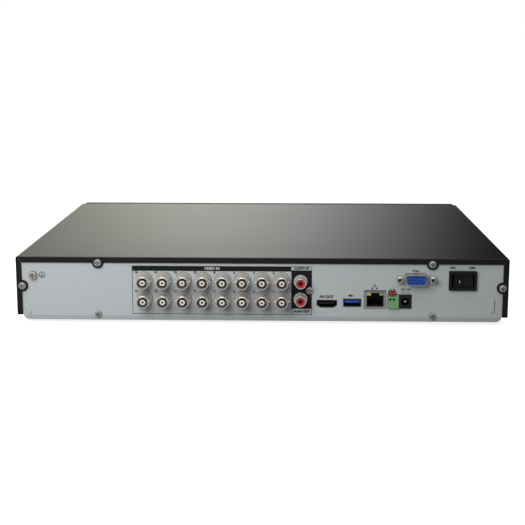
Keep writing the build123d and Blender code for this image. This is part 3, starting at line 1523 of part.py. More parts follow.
with BuildPart() as switch_leads:
    for side in (-1, 1):
        start = (switch_x + side * 4.5, rear_y - 25.0, switch_z)
        add(
            lead(
                [
                    start,
                    (start[0], rear_y - 44.0 - side * 3.0, switch_z),
                    (start[0], rear_y - 62.0 - side * 3.0, 24.0),
                    (-110.0 + side * 1.6, rear_y - 62.0 - side * 3.0, 24.0),
                    (-110.0 + side * 1.6, 60.0, 24.0),
                    (-110.0 + side * 1.6, 60.0, board_top_z + 6.0),
                ],
                [8.0, 4.0, 3.0, 1.5],
                1.9,
            )
        )
write(switch_leads, "switch_leads")

with BuildPart() as fan_lead:
    add(
        lead(
            [
                (fan_inner_x + 5.0, fan_y + fan_size / 2, 12.0),
                (fan_inner_x + 5.0, fan_y + 36.0, 12.0),
                (138.0, 62.0, 9.0),
                (120.0, 55.0, 9.0),
                (120.0, 55.0, 24.0),
                (92.0, 55.0, 24.0),
                (92.0, 55.0, board_top_z + 6.0),
            ],
            [7.0, 8.0, 5.0, 5.0, 3.5],
            2.2,
        )
    )
write(fan_lead, "fan_lead")

with BuildPart() as front_cable:
    add(
        lead(
            [
                (126.0, -102.0, front_board_top_z + 3.5),
                (126.0, -88.0, front_board_top_z + 3.5),
                (126.0, -80.0, 10.0),
                (126.0, 36.0, 10.0),
                (76.0, 36.0, 10.0),
                (76.0, 36.0, 26.0),
                (76.0, 50.0, 26.0),
                (76.0, 50.0, board_top_z + 6.0),
            ],
            [5.0, 5.0, 10.0, 7.0, 6.0, 4.5],
            3.2,
        )
    )
write(front_cable, "front_cable")
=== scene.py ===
import json
import math
import random

import bmesh
import bpy
from mathutils import Matrix, Vector


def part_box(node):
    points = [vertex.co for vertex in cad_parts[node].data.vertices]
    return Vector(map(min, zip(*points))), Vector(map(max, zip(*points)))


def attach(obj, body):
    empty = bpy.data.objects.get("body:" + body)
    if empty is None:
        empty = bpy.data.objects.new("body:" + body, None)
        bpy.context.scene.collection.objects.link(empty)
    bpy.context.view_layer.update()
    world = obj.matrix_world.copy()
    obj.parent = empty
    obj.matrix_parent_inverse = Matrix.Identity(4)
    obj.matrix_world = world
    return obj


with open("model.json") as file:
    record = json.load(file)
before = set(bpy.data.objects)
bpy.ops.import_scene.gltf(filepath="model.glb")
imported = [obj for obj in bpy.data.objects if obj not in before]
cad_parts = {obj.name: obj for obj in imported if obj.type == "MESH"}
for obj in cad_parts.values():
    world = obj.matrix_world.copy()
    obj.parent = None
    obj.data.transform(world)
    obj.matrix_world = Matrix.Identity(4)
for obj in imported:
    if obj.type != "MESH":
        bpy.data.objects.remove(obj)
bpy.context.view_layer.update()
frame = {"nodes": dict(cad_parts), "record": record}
MM = 0.001
random.seed(16)


# ---------------------------------------------------------------- places taken from the frame
def middle(node):
    low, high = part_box(node)
    return (low + high) / 2


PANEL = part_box("rear_panel")
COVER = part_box("top_cover")
COVER_LIP_MM = 1.1  # thickness of the cover's frame over the rear panel
REAR_Y = COVER[1].y - COVER_LIP_MM * MM  # outer face of the rear panel
CASE_Z = PANEL[0].z
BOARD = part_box("main_board")
BOARD_TOP = BOARD[1].z


# ---------------------------------------------------------------- camera
CAMERA_AT = Vector((-0.0215, COVER[1].y + 0.7841, 0.2171))
CAMERA_LOOK = Vector((0.0257, -0.9851, -0.17))
LENS_MM, SENSOR_MM = 72.54, 36.0
CAMERA_SHIFT = -0.08  # upright edges converge a little less than a tilted camera alone would show them

camera_data = bpy.data.cameras.new("camera")
camera_data.lens = LENS_MM
camera_data.sensor_width = SENSOR_MM
camera_data.shift_y = CAMERA_SHIFT
camera = bpy.data.objects.new("camera", camera_data)
camera.location = CAMERA_AT
camera.rotation_mode = "QUATERNION"
camera.rotation_quaternion = CAMERA_LOOK.to_track_quat("-Z", "Y")
bpy.context.scene.collection.objects.link(camera)
bpy.context.scene.camera = camera


# ---------------------------------------------------------------- materials
RANGE_SOCKETS = ("From Min", "From Max", "To Min", "To Max")


class Look:
    """A Principled material and the nodes that feed it."""

    def __init__(self, name, color, roughness, metallic=0.0, **sockets):
        self.mat = bpy.data.materials.new(name)
        self.mat.use_nodes = True
        self.nodes = self.mat.node_tree.nodes
        self.links = self.mat.node_tree.links
        self.shader = self.nodes["Principled BSDF"]
        self.place = self.nodes.new("ShaderNodeTexCoord").outputs["Object"]
        self.shader.inputs["Base Color"].default_value = (*color, 1)
        self.shader.inputs["Roughness"].default_value = roughness
        self.shader.inputs["Metallic"].default_value = metallic
        for socket, value in sockets.items():
            self.shader.inputs[socket.replace("_", " ")].default_value = value

    def feed(self, value, socket):
        if hasattr(value, "is_output"):
            self.links.new(value, socket)
        else:
            socket.default_value = value

    def stretched(self, scale):
        mapping = self.nodes.new("ShaderNodeMapping")
        self.links.new(self.place, mapping.inputs["Vector"])
        mapping.inputs["Scale"].default_value = scale
        return mapping.outputs["Vector"]

    def noise(self, size_mm, detail=2.0, stretch=None):
        """Noise whose features are about size_mm across."""
        tex = self.nodes.new("ShaderNodeTexNoise")
        self.links.new(self.stretched(stretch) if stretch else self.place, tex.inputs["Vector"])
        tex.inputs["Scale"].default_value = 1000.0 / size_mm
        tex.inputs["Detail"].default_value = detail
        return tex.outputs["Fac"]

    def cells(self, size_mm, stretch=None, feature="F1"):
        """Distance within cells about size_mm across."""
        tex = self.nodes.new("ShaderNodeTexVoronoi")
        tex.feature = feature
        self.links.new(self.stretched(stretch) if stretch else self.place, tex.inputs["Vector"])
        tex.inputs["Scale"].default_value = 1000.0 / size_mm
        return tex.outputs["Distance"]

    def ranged(self, value, low, high, out_low, out_high):
        """The value, faded from out_low at low to out_high at high."""
        node = self.nodes.new("ShaderNodeMapRange")
        node.interpolation_type = "SMOOTHSTEP"
        self.feed(value, node.inputs["Value"])
        for socket, number in zip(RANGE_SOCKETS, (low, high, out_low, out_high)):
            node.inputs[socket].default_value = number
        return node.outputs["Result"]

    def math(self, operation, a, b):
        node = self.nodes.new("ShaderNodeMath")
        node.operation = operation
        self.feed(a, node.inputs[0])
        self.feed(b, node.inputs[1])
        return node.outputs[0]

    def mixed(self, factor, color_a, color_b):
        node = self.nodes.new("ShaderNodeMix")
        node.data_type = "RGBA"
        self.feed(factor, node.inputs["Factor"])
        for socket, color in (("A", color_a), ("B", color_b)):
            value = color if hasattr(color, "is_output") else (*color, 1)
            self.feed(value, [s for s in node.inputs if s.name == socket and s.type == "RGBA"][0])
        return [s for s in node.outputs if s.type == "RGBA"][0]

    def soiled(self, color, reach_mm, keep=0.15):
        """Painted shade: the color, darkened inside recesses narrower than reach_mm down to the share
        keep, as shade falls in them.
        """
        node = self.nodes.new("ShaderNodeAmbientOcclusion")
        node.samples = 8
        node.inputs["Distance"].default_value = reach_mm * MM
        deep, open_air = 0.25, 0.85
        shut = self.ranged(node.outputs["AO"], deep, open_air, 1.0, 0.0)
        darker = self.nodes.new("ShaderNodeMix")
        darker.data_type = "RGBA"
        darker.blend_type = "MULTIPLY"
        self.links.new(shut, darker.inputs["Factor"])
        first, second = [s for s in darker.inputs if s.type == "RGBA"]
        self.links.new(color, first)
        second.default_value = (keep, keep, keep, 1)
        return [s for s in darker.outputs if s.type == "RGBA"][0]

    def color(self, value):
        self.links.new(value, self.shader.inputs["Base Color"])
        return self

    def rough(self, value):
        self.links.new(value, self.shader.inputs["Roughness"])
        return self

    def bump(self, height, depth_mm):
        node = self.nodes.new("ShaderNodeBump")
        node.inputs["Distance"].default_value = depth_mm * MM
        node.inputs["Strength"].default_value = 1.0
        self.links.new(height, node.inputs["Height"])
        self.links.new(node.outputs["Normal"], self.shader.inputs["Normal"])
        return self


def shade(color, factor):
    return tuple(c * factor for c in color)


NOISE_SPAN = (0.3, 0.7)  # most of a noise texture's values lie between these
GLOSS_PATCH = 0.4  # size of the patches of gloss over that of the patches of colour


def varied(
    name, color, roughness, spread=0.12, patch_mm=30.0, grain_mm=0.35, grain_depth=0.01, soil_mm=0, **more
):
    """Plain moulded or painted stuff: slow colour drift, patchy gloss and a fine grain."""
    look = Look(name, color, roughness, **more)
    drift = look.mixed(look.noise(patch_mm, 3.0), shade(color, 1 - spread), shade(color, 1 + spread))
    # Painted shade: with a reach given, the colour is darkened inside recesses of that width.
    look.color(look.soiled(drift, soil_mm) if soil_mm else drift)
    patches = look.noise(patch_mm * GLOSS_PATCH, 4.0)
    look.rough(look.ranged(patches, *NOISE_SPAN, roughness - 0.04, roughness + 0.05))
    look.bump(look.noise(grain_mm, 3.0), grain_depth)
    return look.mat


STREAK_SQUEEZE = 0.03  # scale of the noise along the streaks over its scale across them
CLOUD_MM = 14.0


def brushed(name, color, roughness, along, streak_mm=0.25, depth=0.004, soil_mm=0, metallic=1.0):
    """Metal with fine streaks along one axis."""
    stretch = [1.0, 1.0, 1.0]
    stretch["XYZ".index(along)] = STREAK_SQUEEZE
    look = Look(name, color, roughness, metallic)
    streaks = look.noise(streak_mm, 2.0, stretch)
    clouds = look.mixed(look.noise(CLOUD_MM, 4.0), shade(color, 0.86), shade(color, 1.08))
    # Painted shade: with a reach given, the colour is darkened inside recesses of that width.
    look.color(look.soiled(clouds, soil_mm) if soil_mm else clouds)
    look.rough(look.ranged(streaks, 0.25, 0.75, roughness - 0.07, roughness + 0.1))
    look.bump(streaks, depth)
    return look.mat


def cover_paint():
    """Black powder coat with the finest peel."""
    look = Look("cover_paint", (0.007, 0.007, 0.0075), 0.26, Specular_IOR_Level=0.2)
    look.rough(look.ranged(look.noise(120.0, 1.0), 0.0, 1.0, 0.252, 0.268))
    look.color(look.mixed(look.noise(90.0, 1.0), (0.0055, 0.0055, 0.006), (0.0075, 0.0075, 0.0078)))
    look.bump(look.noise(0.5, 2.0), 0.0006)
    return look.mat


def panel_paint():
    """Light grey satin paint on the rear panel."""
    look = Look("panel_paint", (0.32, 0.34, 0.35), 0.42, Specular_IOR_Level=0.3)
    look.color(look.mixed(look.noise(60.0, 3.0), (0.31, 0.332, 0.342), (0.328, 0.35, 0.358)))
    look.rough(look.ranged(look.noise(20.0, 4.0), *NOISE_SPAN, 0.38, 0.47))
    look.bump(look.noise(0.5, 2.0), 0.004)
    return look.mat


def galvanised_steel():
    """Zinc-coated sheet with a soft spangle."""
    look = Look("galvanised_steel", (0.4, 0.41, 0.43), 0.4, 0.9)
    spangle = look.cells(5.0)
    look.color(look.mixed(spangle, (0.33, 0.34, 0.36), (0.46, 0.47, 0.49)))
    look.rough(look.ranged(look.noise(6.0, 4.0), *NOISE_SPAN, 0.3, 0.46))
    look.bump(look.noise(0.8, 3.0), 0.004)
    return look.mat


def board_laminate():
    """Green solder mask over copper tracks."""
    look = Look("board_laminate", (0.01, 0.09, 0.04), 0.32, Coat_Weight=0.35, Coat_Roughness=0.12)
    tracks = look.cells(3.2, (1.0, 0.35, 1.0), "DISTANCE_TO_EDGE")
    lines = look.ranged(tracks, 0.02, 0.07, 1.0, 0.0)
    pours = look.ranged(look.cells(9.0, (0.5, 1.0, 1.0)), 0.35, 0.4, 0.0, 1.0)
    mask = look.mixed(pours, (0.008, 0.075, 0.034), (0.012, 0.115, 0.05))
    look.color(look.mixed(lines, mask, (0.03, 0.19, 0.08)))
    look.bump(tracks, 0.01)
    return look.mat


def nickel_plate():
    """Nickel with a warm cast and faint turning marks."""
    look = Look("nickel_plate", (0.5, 0.48, 0.45), 0.26, 0.68)
    rings = look.noise(0.3, 2.0, (0.05, 1.0, 0.05))
    plate = look.mixed(look.noise(3.0, 4.0), (0.46, 0.44, 0.41), (0.7, 0.67, 0.63))
    # Painted shade: the plate is darkened inside hollows, such as the mouths of the jacks.
    look.color(look.soiled(plate, 0.5, 0.65))
    look.rough(look.ranged(rings, *NOISE_SPAN, 0.2, 0.36))
    look.bump(rings, 0.012)
    return look.mat


def platter_mirror():
    """Polished disk with the faintest concentric haze."""
    look = Look("platter_mirror", (0.8, 0.8, 0.81), 0.06, 1.0)
    look.rough(look.ranged(look.noise(25.0, 3.0), *NOISE_SPAN, 0.04, 0.1))
    look.bump(look.noise(0.4, 1.0), 0.0005)
    return look.mat


# name: colour, roughness, settings of varied
MOULDED = {
    "bezel_plastic": ((0.018, 0.018, 0.019), 0.42, dict(grain_mm=0.3, grain_depth=0.02)),
    "window_gloss": ((0.006, 0.006, 0.008), 0.09, dict(grain_mm=4.0, grain_depth=0.002)),
    "clear_plastic": ((0.72, 0.75, 0.78), 0.15, dict(patch_mm=4.0, grain_mm=1.0)),
    "foot_rubber": ((0.02, 0.02, 0.02), 0.75, dict(grain_mm=0.4, grain_depth=0.04)),
    # The insulators' last setting paints shade into the walls of their holes.
    "insulator_white": (
        (0.55, 0.505, 0.44), 0.45,
        dict(spread=0.06, patch_mm=4.0, grain_mm=0.3, grain_depth=0.004, soil_mm=3.0),
    ),
    "rca_red": (
        (0.3, 0.022, 0.026), 0.28,
        dict(spread=0.15, patch_mm=3.0, grain_mm=0.4, grain_depth=0.004),
    ),
    "socket_black": (
        (0.009, 0.009, 0.01), 0.45,
        dict(spread=0.15, patch_mm=8.0, grain_mm=0.25, grain_depth=0.012, Specular_IOR_Level=0.3),
    ),
    "socket_blue": (
        (0.01, 0.055, 0.28), 0.38,
        dict(spread=0.12, patch_mm=6.0, grain_mm=0.25, grain_depth=0.006),
    ),
    "lamp_yellow": (
        (0.42, 0.36, 0.03), 0.3,
        dict(spread=0.1, patch_mm=2.0, grain_mm=0.4, grain_depth=0.004),
    ),
    "lamp_green": (
        (0.12, 0.3, 0.08), 0.3,
        dict(spread=0.1, patch_mm=2.0, grain_mm=0.4, grain_depth=0.004),
    ),
    "terminal_green": (
        (0.115, 0.25, 0.115), 0.42,
        dict(spread=0.1, patch_mm=5.0, grain_mm=0.25, grain_depth=0.01),
    ),
    "terminal_red": (
        (0.21, 0.038, 0.026), 0.4,
        dict(spread=0.1, patch_mm=3.0, grain_mm=0.25, grain_depth=0.008),
    ),
    "switch_black": (
        (0.0055, 0.0055, 0.0065), 0.36,
        dict(spread=0.1, patch_mm=10.0, grain_mm=0.3, grain_depth=0.01, Specular_IOR_Level=0.25),
    ),
    "chip_epoxy": (
        (0.02, 0.02, 0.021), 0.5,
        dict(spread=0.15, patch_mm=6.0, grain_mm=0.2, grain_depth=0.015),
    ),
    "drive_alloy": (
        (0.22, 0.22, 0.225), 0.45,
        dict(spread=0.1, patch_mm=20.0, grain_mm=0.6, grain_depth=0.03, metallic=0.85),
    ),
    "cable_red": (
        (0.4, 0.02, 0.015), 0.45,
        dict(spread=0.1, patch_mm=12.0, grain_mm=0.4, grain_depth=0.01),
    ),
    "lead_black": (
        (0.02, 0.02, 0.02), 0.5,
        dict(spread=0.15, patch_mm=12.0, grain_mm=0.4, grain_depth=0.01),
    ),
}

# name: colour, roughness, axis of the streaks, settings of brushed
METALS = {
    # The screws' last setting paints shade into their cross recesses.
    "zinc_screws": (
        (0.5, 0.485, 0.45), 0.3, "Y",
        dict(streak_mm=0.2, depth=0.006, soil_mm=1.6, metallic=0.75),
    ),
    # The contacts' last setting paints shade onto them inside the holes of the jacks.
    "contact_metal": ((0.75, 0.55, 0.25), 0.25, "Y", dict(streak_mm=0.2, depth=0.003, soil_mm=4.0)),
    "standoff_brass": ((0.7, 0.52, 0.24), 0.28, "Z", dict(streak_mm=0.25, depth=0.004)),
    "port_shell": ((0.16, 0.16, 0.165), 0.36, "Y", dict(streak_mm=0.3, depth=0.004)),
    "connector_steel": ((0.62, 0.61, 0.58), 0.27, "Y", dict(streak_mm=0.3, depth=0.004)),
    "terminal_tin": ((0.66, 0.65, 0.62), 0.3, "Y", dict()),
    "heat_sink_metal": ((0.6, 0.61, 0.63), 0.34, "Y", dict(streak_mm=0.35, depth=0.01)),
    "capacitor_can": ((0.5, 0.5, 0.52), 0.3, "Z", dict(streak_mm=0.3)),
    "cell_steel": ((0.68, 0.67, 0.65), 0.22, "X", dict(streak_mm=0.3)),
    "drive_lid_steel": ((0.36, 0.365, 0.38), 0.34, "X", dict(streak_mm=0.3, depth=0.004)),
    "arm_alloy": ((0.68, 0.68, 0.66), 0.3, "X", dict(streak_mm=0.3)),
}

MATERIALS = {
    "cover_paint": cover_paint(),
    "panel_paint": panel_paint(),
    "galvanised_steel": galvanised_steel(),
    "nickel_plate": nickel_plate(),
    "board_laminate": board_laminate(),
    "platter_mirror": platter_mirror(),
}
for slot_name, (color, roughness, settings) in MOULDED.items():
    MATERIALS[slot_name] = varied(slot_name, color, roughness, **settings)
for slot_name, (color, roughness, along, settings) in METALS.items():
    MATERIALS[slot_name] = brushed(slot_name, color, roughness, along, **settings)

for row in frame["record"]["subparts"]:
    node = frame["nodes"][row["node"]]
    node.data.materials.clear()
    node.data.materials.append(MATERIALS[row["material_slot"]])


# ---------------------------------------------------------------- building pieces
def add_piece(name, mesh, material, body="chassis"):
    piece = bpy.data.objects.new(name, mesh)
    bpy.context.scene.collection.objects.link(piece)
    mesh.materials.clear()
    mesh.materials.append(material)
    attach(piece, body)
    return piece


# Ink lies on the rear panel: X runs to the left seen from behind, so a drawing's right is -X.
REAR_FACING = Matrix(((-1, 0, 0), (0, 0, 1), (0, 1, 0))).to_4x4()


def on_panel(right_mm, up_mm, lift_mm):
    """Transform from a drawing in millimetres to the panel, from its middle and the case's foot."""
    spot = Vector((-right_mm * MM, REAR_Y + lift_mm * MM, CASE_Z + up_mm * MM))
    return Matrix.Translation(spot) @ REAR_FACING @ Matrix.Scale(MM, 4)


def flat_outline(loops, depth_mm):
    """Mesh of a plate drawn in millimetres: its outline is the first loop, the others are holes."""
    curve = bpy.data.curves.new("outline", "CURVE")
    curve.dimensions = "2D"
    curve.fill_mode = "BOTH"
    curve.extrude = depth_mm / 2
    for points in loops:
        spline = curve.splines.new("POLY")
        spline.points.add(len(points) - 1)
        for point, (x, y) in zip(spline.points, points):
            point.co = (x, y, 0, 1)
        spline.use_cyclic_u = True
    holder = bpy.data.objects.new("outline", curve)
    mesh = bpy.data.meshes.new_from_object(holder)
    bpy.data.objects.remove(holder)
    bpy.data.curves.remove(curve)
    return mesh


CAPITAL_SHARE = 0.73  # height of a capital letter over the size of the typeface


def text_mesh(text, height_mm, depth_mm, weight_mm):
    """Mesh of letters centred on the origin, height_mm tall, strokes thickened by weight_mm."""
    curve = bpy.data.curves.new("words", "FONT")
    curve.body = text
    curve.align_x = "CENTER"
    curve.align_y = "CENTER"
    curve.size = height_mm / CAPITAL_SHARE
    curve.extrude = depth_mm / 2
    curve.offset = weight_mm
    curve.resolution_u = 3
    holder = bpy.data.objects.new("words", curve)
    mesh = bpy.data.meshes.new_from_object(holder)
    bpy.data.objects.remove(holder)
    bpy.data.curves.remove(curve)
    return mesh


def rectangle(x0, y0, x1, y1):
    return [(x0, y0), (x1, y0), (x1, y1), (x0, y1)]


def ring(x, y, radius, count=48):
    turn = [2 * math.pi * i / count for i in range(count)]
    return [(x + radius * math.cos(a), y + radius * math.sin(a)) for a in turn]


def joined(parts):
    """One mesh from (mesh, transform) pairs."""
    whole = bmesh.new()
    for mesh, transform in parts:
        mesh.transform(transform)
        whole.from_mesh(mesh)
        bpy.data.meshes.remove(mesh)
    result = bpy.data.meshes.new("joined")
    whole.to_mesh(result)
    whole.free()
    return result


# ---------------------------------------------------------------- printing on the rear panel
# Millimetres: right of the panel's middle, seen from behind, and up from the case's foot.
INK_MM = 0.04
INK_LIFT = INK_MM / 2


def ink(name, color, spread, **more):
    return varied(name, color, 0.5, spread, patch_mm=12.0, grain_mm=0.3, grain_depth=0.004, **more)


BLACK_INK = ink("ink_black", (0.006, 0.006, 0.007), 0.1, Specular_IOR_Level=0.2)
GREY_INK = ink("ink_grey", (0.018, 0.018, 0.028), 0.1, Specular_IOR_Level=0.3)
WHITE_INK = ink("ink_white", (0.72, 0.73, 0.73), 0.04)

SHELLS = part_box("bnc_shells")
FIRST_JACK = -89.2
JACK_PITCH = 15.0
JACKS_IN_ROW = 8
COLLAR_RADIUS = 6.2
JACK_COLUMNS = [FIRST_JACK + JACK_PITCH * i for i in range(JACKS_IN_ROW)]
collar = COLLAR_RADIUS * MM
JACK_ROWS = [(z - CASE_Z) / MM for z in (SHELLS[0].z + collar, SHELLS[1].z - collar)]


def plate(*loops):
    return flat_outline(loops, INK_MM), on_panel(0, 0, INK_LIFT)


def words(text, right, up, height, weight, lift_mm=INK_LIFT):
    return text_mesh(text, height, INK_MM, weight), on_panel(right, up, lift_mm)


def stroke(points, width):
    """Closed outline of a line of the given width through two points."""
    (x0, y0), (x1, y1) = points
    length = math.hypot(x1 - x0, y1 - y0)
    nx, ny = -(y1 - y0) / length * width / 2, (x1 - x0) / length * width / 2
    return [(x0 + nx, y0 + ny), (x1 + nx, y1 + ny), (x1 - nx, y1 - ny), (x0 - nx, y0 - ny)]


def level_line(left, right, up, width):
    return plate(stroke([(left, up), (right, up)], width))


def circle_line(right, up, outer, inner, count=48):
    return plate(ring(right, up, outer, count), ring(right, up, inner, count))


FIELD_LEFT, FIELD_SPLIT, FIELD_RIGHT = -98.6, 22.9, 38.6
FIELD_TOP, BAND_FOOT, FIELD_FOOT = 42.8, 38.8, 5.4
AUDIO_TOP, AUDIO_FOOT = 39.8, 9.9
RULE = 0.4
AUDIO_RIGHT, AUDIO_LOW, AUDIO_HIGH, AUDIO_RADIUS = 30.0, 17.4, 31.2, 4.6
AUDIO_SCREW = (36.9, 24.2, 1.4)  # right, up, radius left free of ink
audio_holes = [
    ring(AUDIO_RIGHT, AUDIO_LOW, AUDIO_RADIUS),
    ring(AUDIO_RIGHT, AUDIO_HIGH, AUDIO_RADIUS),
    ring(*AUDIO_SCREW),
]
black = [
    plate(rectangle(FIELD_LEFT, BAND_FOOT, FIELD_SPLIT, FIELD_TOP)),
    plate(rectangle(FIELD_SPLIT, AUDIO_FOOT, FIELD_RIGHT, AUDIO_TOP), *audio_holes),
    plate(rectangle(FIELD_LEFT, FIELD_FOOT, FIELD_LEFT + RULE, BAND_FOOT)),
    plate(rectangle(FIELD_LEFT, FIELD_FOOT - RULE, FIELD_RIGHT, FIELD_FOOT)),
    plate(rectangle(FIELD_SPLIT, FIELD_TOP - RULE, FIELD_RIGHT, FIELD_TOP)),
    plate(rectangle(FIELD_RIGHT - RULE, AUDIO_TOP, FIELD_RIGHT, FIELD_TOP - RULE)),
    plate(rectangle(FIELD_RIGHT - RULE, FIELD_FOOT, FIELD_RIGHT, AUDIO_FOOT)),
    plate(rectangle(FIELD_SPLIT, FIELD_FOOT, FIELD_SPLIT + RULE, AUDIO_FOOT)),
]
add_piece("print_black_fields", joined(black), BLACK_INK)

# words, right of the middle, above the case's foot, height, added weight of the strokes
LABELS = (
    ("ON", 144.9, 42.3, 1.9, 0.14),
    ("OFF", 159.4, 42.2, 1.9, 0.14),
    ("VGA", 117.1, 39.6, 1.9, 0.1),
    ("AV OUT", 49.8, 19.3, 2.1, 0.16),
    ("A  B", 99.6, 25.2, 1.5, 0.1),
    ("DC 12V", 109.9, 25.3, 1.6, 0.1),
    ("AUDIO IN", 30.8, 41.2, 1.85, 0.14),
    ("AUDIO OUT", 30.8, 7.6, 1.6, 0.14),
)
add_piece("print_labels", joined([words(*label) for label in LABELS]), BLACK_INK)

NUMBER_LEFT, NUMBER_ABOVE, NUMBER_HEIGHT, NUMBER_WEIGHT = 6.3, 5.8, 1.8, 0.15
numbers = []
for row_index, up in enumerate(JACK_ROWS):
    for column_index, right in enumerate(JACK_COLUMNS):
        channel = 2 * (JACKS_IN_ROW - column_index) - (1 - row_index)
        spot = (right - NUMBER_LEFT, up + NUMBER_ABOVE)
        numbers.append(words(str(channel), *spot, NUMBER_HEIGHT, NUMBER_WEIGHT))
add_piece("print_channel_numbers", joined(numbers), BLACK_INK)

TITLE_RIGHT, TITLE_UP, TITLE_HEIGHT = -37.4, 40.8, 2.0
ON_INK = INK_MM * 1.5  # lift of ink that lies on other ink
title = words("VIDEO IN", TITLE_RIGHT, TITLE_UP, TITLE_HEIGHT, 0.0, ON_INK)
add_piece("print_video_title", joined([title]), WHITE_INK)

EARTH_RIGHT, EARTH_UP = -167.6, 35.2
EARTH_OUTER, EARTH_INNER = 2.5, 2.0
EARTH_STEM_TOP, EARTH_STEM_FOOT, EARTH_STEM_WIDTH = 1.5, -0.1, 0.45
EARTH_BARS, FIRST_BAR, BAR_STEP, BAR_WIDTH = (1.35, 0.9, 0.45), -0.25, -0.55, 0.4
stem = [(EARTH_RIGHT, EARTH_UP + EARTH_STEM_TOP), (EARTH_RIGHT, EARTH_UP + EARTH_STEM_FOOT)]
earth = [
    circle_line(EARTH_RIGHT, EARTH_UP, EARTH_OUTER, EARTH_INNER),
    plate(stroke(stem, EARTH_STEM_WIDTH)),
]
for step, half in enumerate(EARTH_BARS):
    level = EARTH_UP + FIRST_BAR + BAR_STEP * step
    earth.append(level_line(EARTH_RIGHT - half, EARTH_RIGHT + half, level, BAR_WIDTH))

NET_RIGHT, NET_UP, NET_LINE = 86.2, 27.2, 0.3
NET_HALF, NET_BRANCH, NET_STEM = 2.3, 1.7, 0.8
NET_BOX_HALF, NET_BOX_HEIGHT = 0.65, 1.1
network = [level_line(NET_RIGHT - NET_HALF, NET_RIGHT + NET_HALF, NET_UP, NET_LINE)]
for branch_x, branch_up in ((-NET_BRANCH, -1), (0.0, 1), (NET_BRANCH, -1)):
    foot = (NET_RIGHT + branch_x, NET_UP)
    tip = (NET_RIGHT + branch_x, NET_UP + NET_STEM * branch_up)
    network.append(plate(stroke([foot, tip], NET_LINE)))
    box_low = min(tip[1], tip[1] + NET_BOX_HEIGHT * branch_up)
    box_high = box_low + NET_BOX_HEIGHT
    network.append(plate(rectangle(tip[0] - NET_BOX_HALF, box_low, tip[0] + NET_BOX_HALF, box_high)))

USB_RIGHT, USB_UP = 68.7, 20.4


def usb_box(left, right, half_height):
    return rectangle(USB_RIGHT + left, USB_UP - half_height, USB_RIGHT + right, USB_UP + half_height)


usb_plug = [
    plate(usb_box(-2.2, 0.4, 0.75)),
    plate(usb_box(0.5, 2.0, 0.55), usb_box(0.75, 1.75, 0.3)),
]

POLARITY_RIGHT, POLARITY_UP, POLARITY_LINE = 109.4, 22.9, 0.22
POLARITY_DOT, POLARITY_OUTER, POLARITY_INNER, POLARITY_COUNT = 0.5, 0.65, 0.42, 24
polarity = [plate(ring(POLARITY_RIGHT, POLARITY_UP, POLARITY_DOT, POLARITY_COUNT))]
for left, right in ((-1.6, -0.4), (1.0, 2.0)):
    polarity.append(level_line(POLARITY_RIGHT + left, POLARITY_RIGHT + right, POLARITY_UP, POLARITY_LINE))
for right in (-2.2, 2.6):
    at = (POLARITY_RIGHT + right, POLARITY_UP)
    polarity.append(circle_line(*at, POLARITY_OUTER, POLARITY_INNER, POLARITY_COUNT))
add_piece("print_symbols", joined(earth + network + usb_plug + polarity), GREY_INK)


# ---------------------------------------------------------------- marks on the rocker, laid on its faces
def on_surface(node_name, start, direction, lift):
    """Transform that lays a drawing in millimetres on the surface met from start, its up along +Z."""
    node = frame["nodes"][node_name]
    hit, spot, normal, _ = node.ray_cast(start, direction)
    assert hit, node_name
    across = Vector((0, 0, 1)).cross(normal).normalized()
    turn = Matrix((across, normal.cross(across), normal)).transposed().to_4x4()
    return Matrix.Translation(spot + normal * lift) @ turn @ Matrix.Scale(MM, 4)


BEHIND_MM = 20  # a ray towards the panel starts this far behind it
MARK_DROP = 0.4
switch_mid = middle("switch_frame")
# name, towards +X from the switch's middle, outline and holes, ink
for mark_name, offset_mm, loops, mark_ink in (
    ("rocker_mark_on", 2.6, [rectangle(-0.22, -0.95, 0.22, 0.95)], WHITE_INK),
    ("rocker_mark_off", -4.2, [ring(0, 0, 1.0, 32), ring(0, 0, 0.78, 32)], GREY_INK),
):
    start = Vector((switch_mid.x + offset_mm * MM, REAR_Y + BEHIND_MM * MM, switch_mid.z - MARK_DROP * MM))
    laid = on_surface("switch_rocker", start, Vector((0, -1, 0)), INK_LIFT * MM)
    add_piece(mark_name, joined([(flat_outline(loops, INK_MM), laid)]), mark_ink, "rocker")


# ---------------------------------------------------------------- small parts on the main board
def box_verts(low, high):
    (x0, y0, z0), (x1, y1, z1) = low, high
    return [(x, y, z) for z in (z0, z1) for x, y in ((x0, y0), (x1, y0), (x1, y1), (x0, y1))]


BOX_FACES = [(3, 2, 1, 0), (4, 5, 6, 7), (0, 1, 5, 4), (1, 2, 6, 5), (2, 3, 7, 6), (3, 0, 4, 7)]


def boxes_mesh(name, boxes, bevel_mm):
    """One mesh of many separate boxes, given by their corners in millimetres."""
    shape = bmesh.new()
    for low, high in boxes:
        corners = [shape.verts.new(Vector(v) * MM) for v in box_verts(low, high)]
        for face in BOX_FACES:
            shape.faces.new([corners[i] for i in face])
    bmesh.ops.bevel(shape, geom=shape.edges[:], offset=bevel_mm * MM, segments=1, affect="EDGES")
    mesh = bpy.data.meshes.new(name)
    shape.to_mesh(mesh)
    shape.free()
    return mesh


AROUND_BOARD = ("main_board", "top_cover", "rear_panel", "base_tray", "chassis_screws")
all_nodes = [row["node"] for row in frame["record"]["subparts"]]
tall_nodes = [frame["nodes"][name] for name in all_nodes if name not in AROUND_BOARD]
PROBE_FROM = 30 * MM  # above the board
PROBE_DEPTH = 3 * MM  # below its top, where a lower hit no longer counts


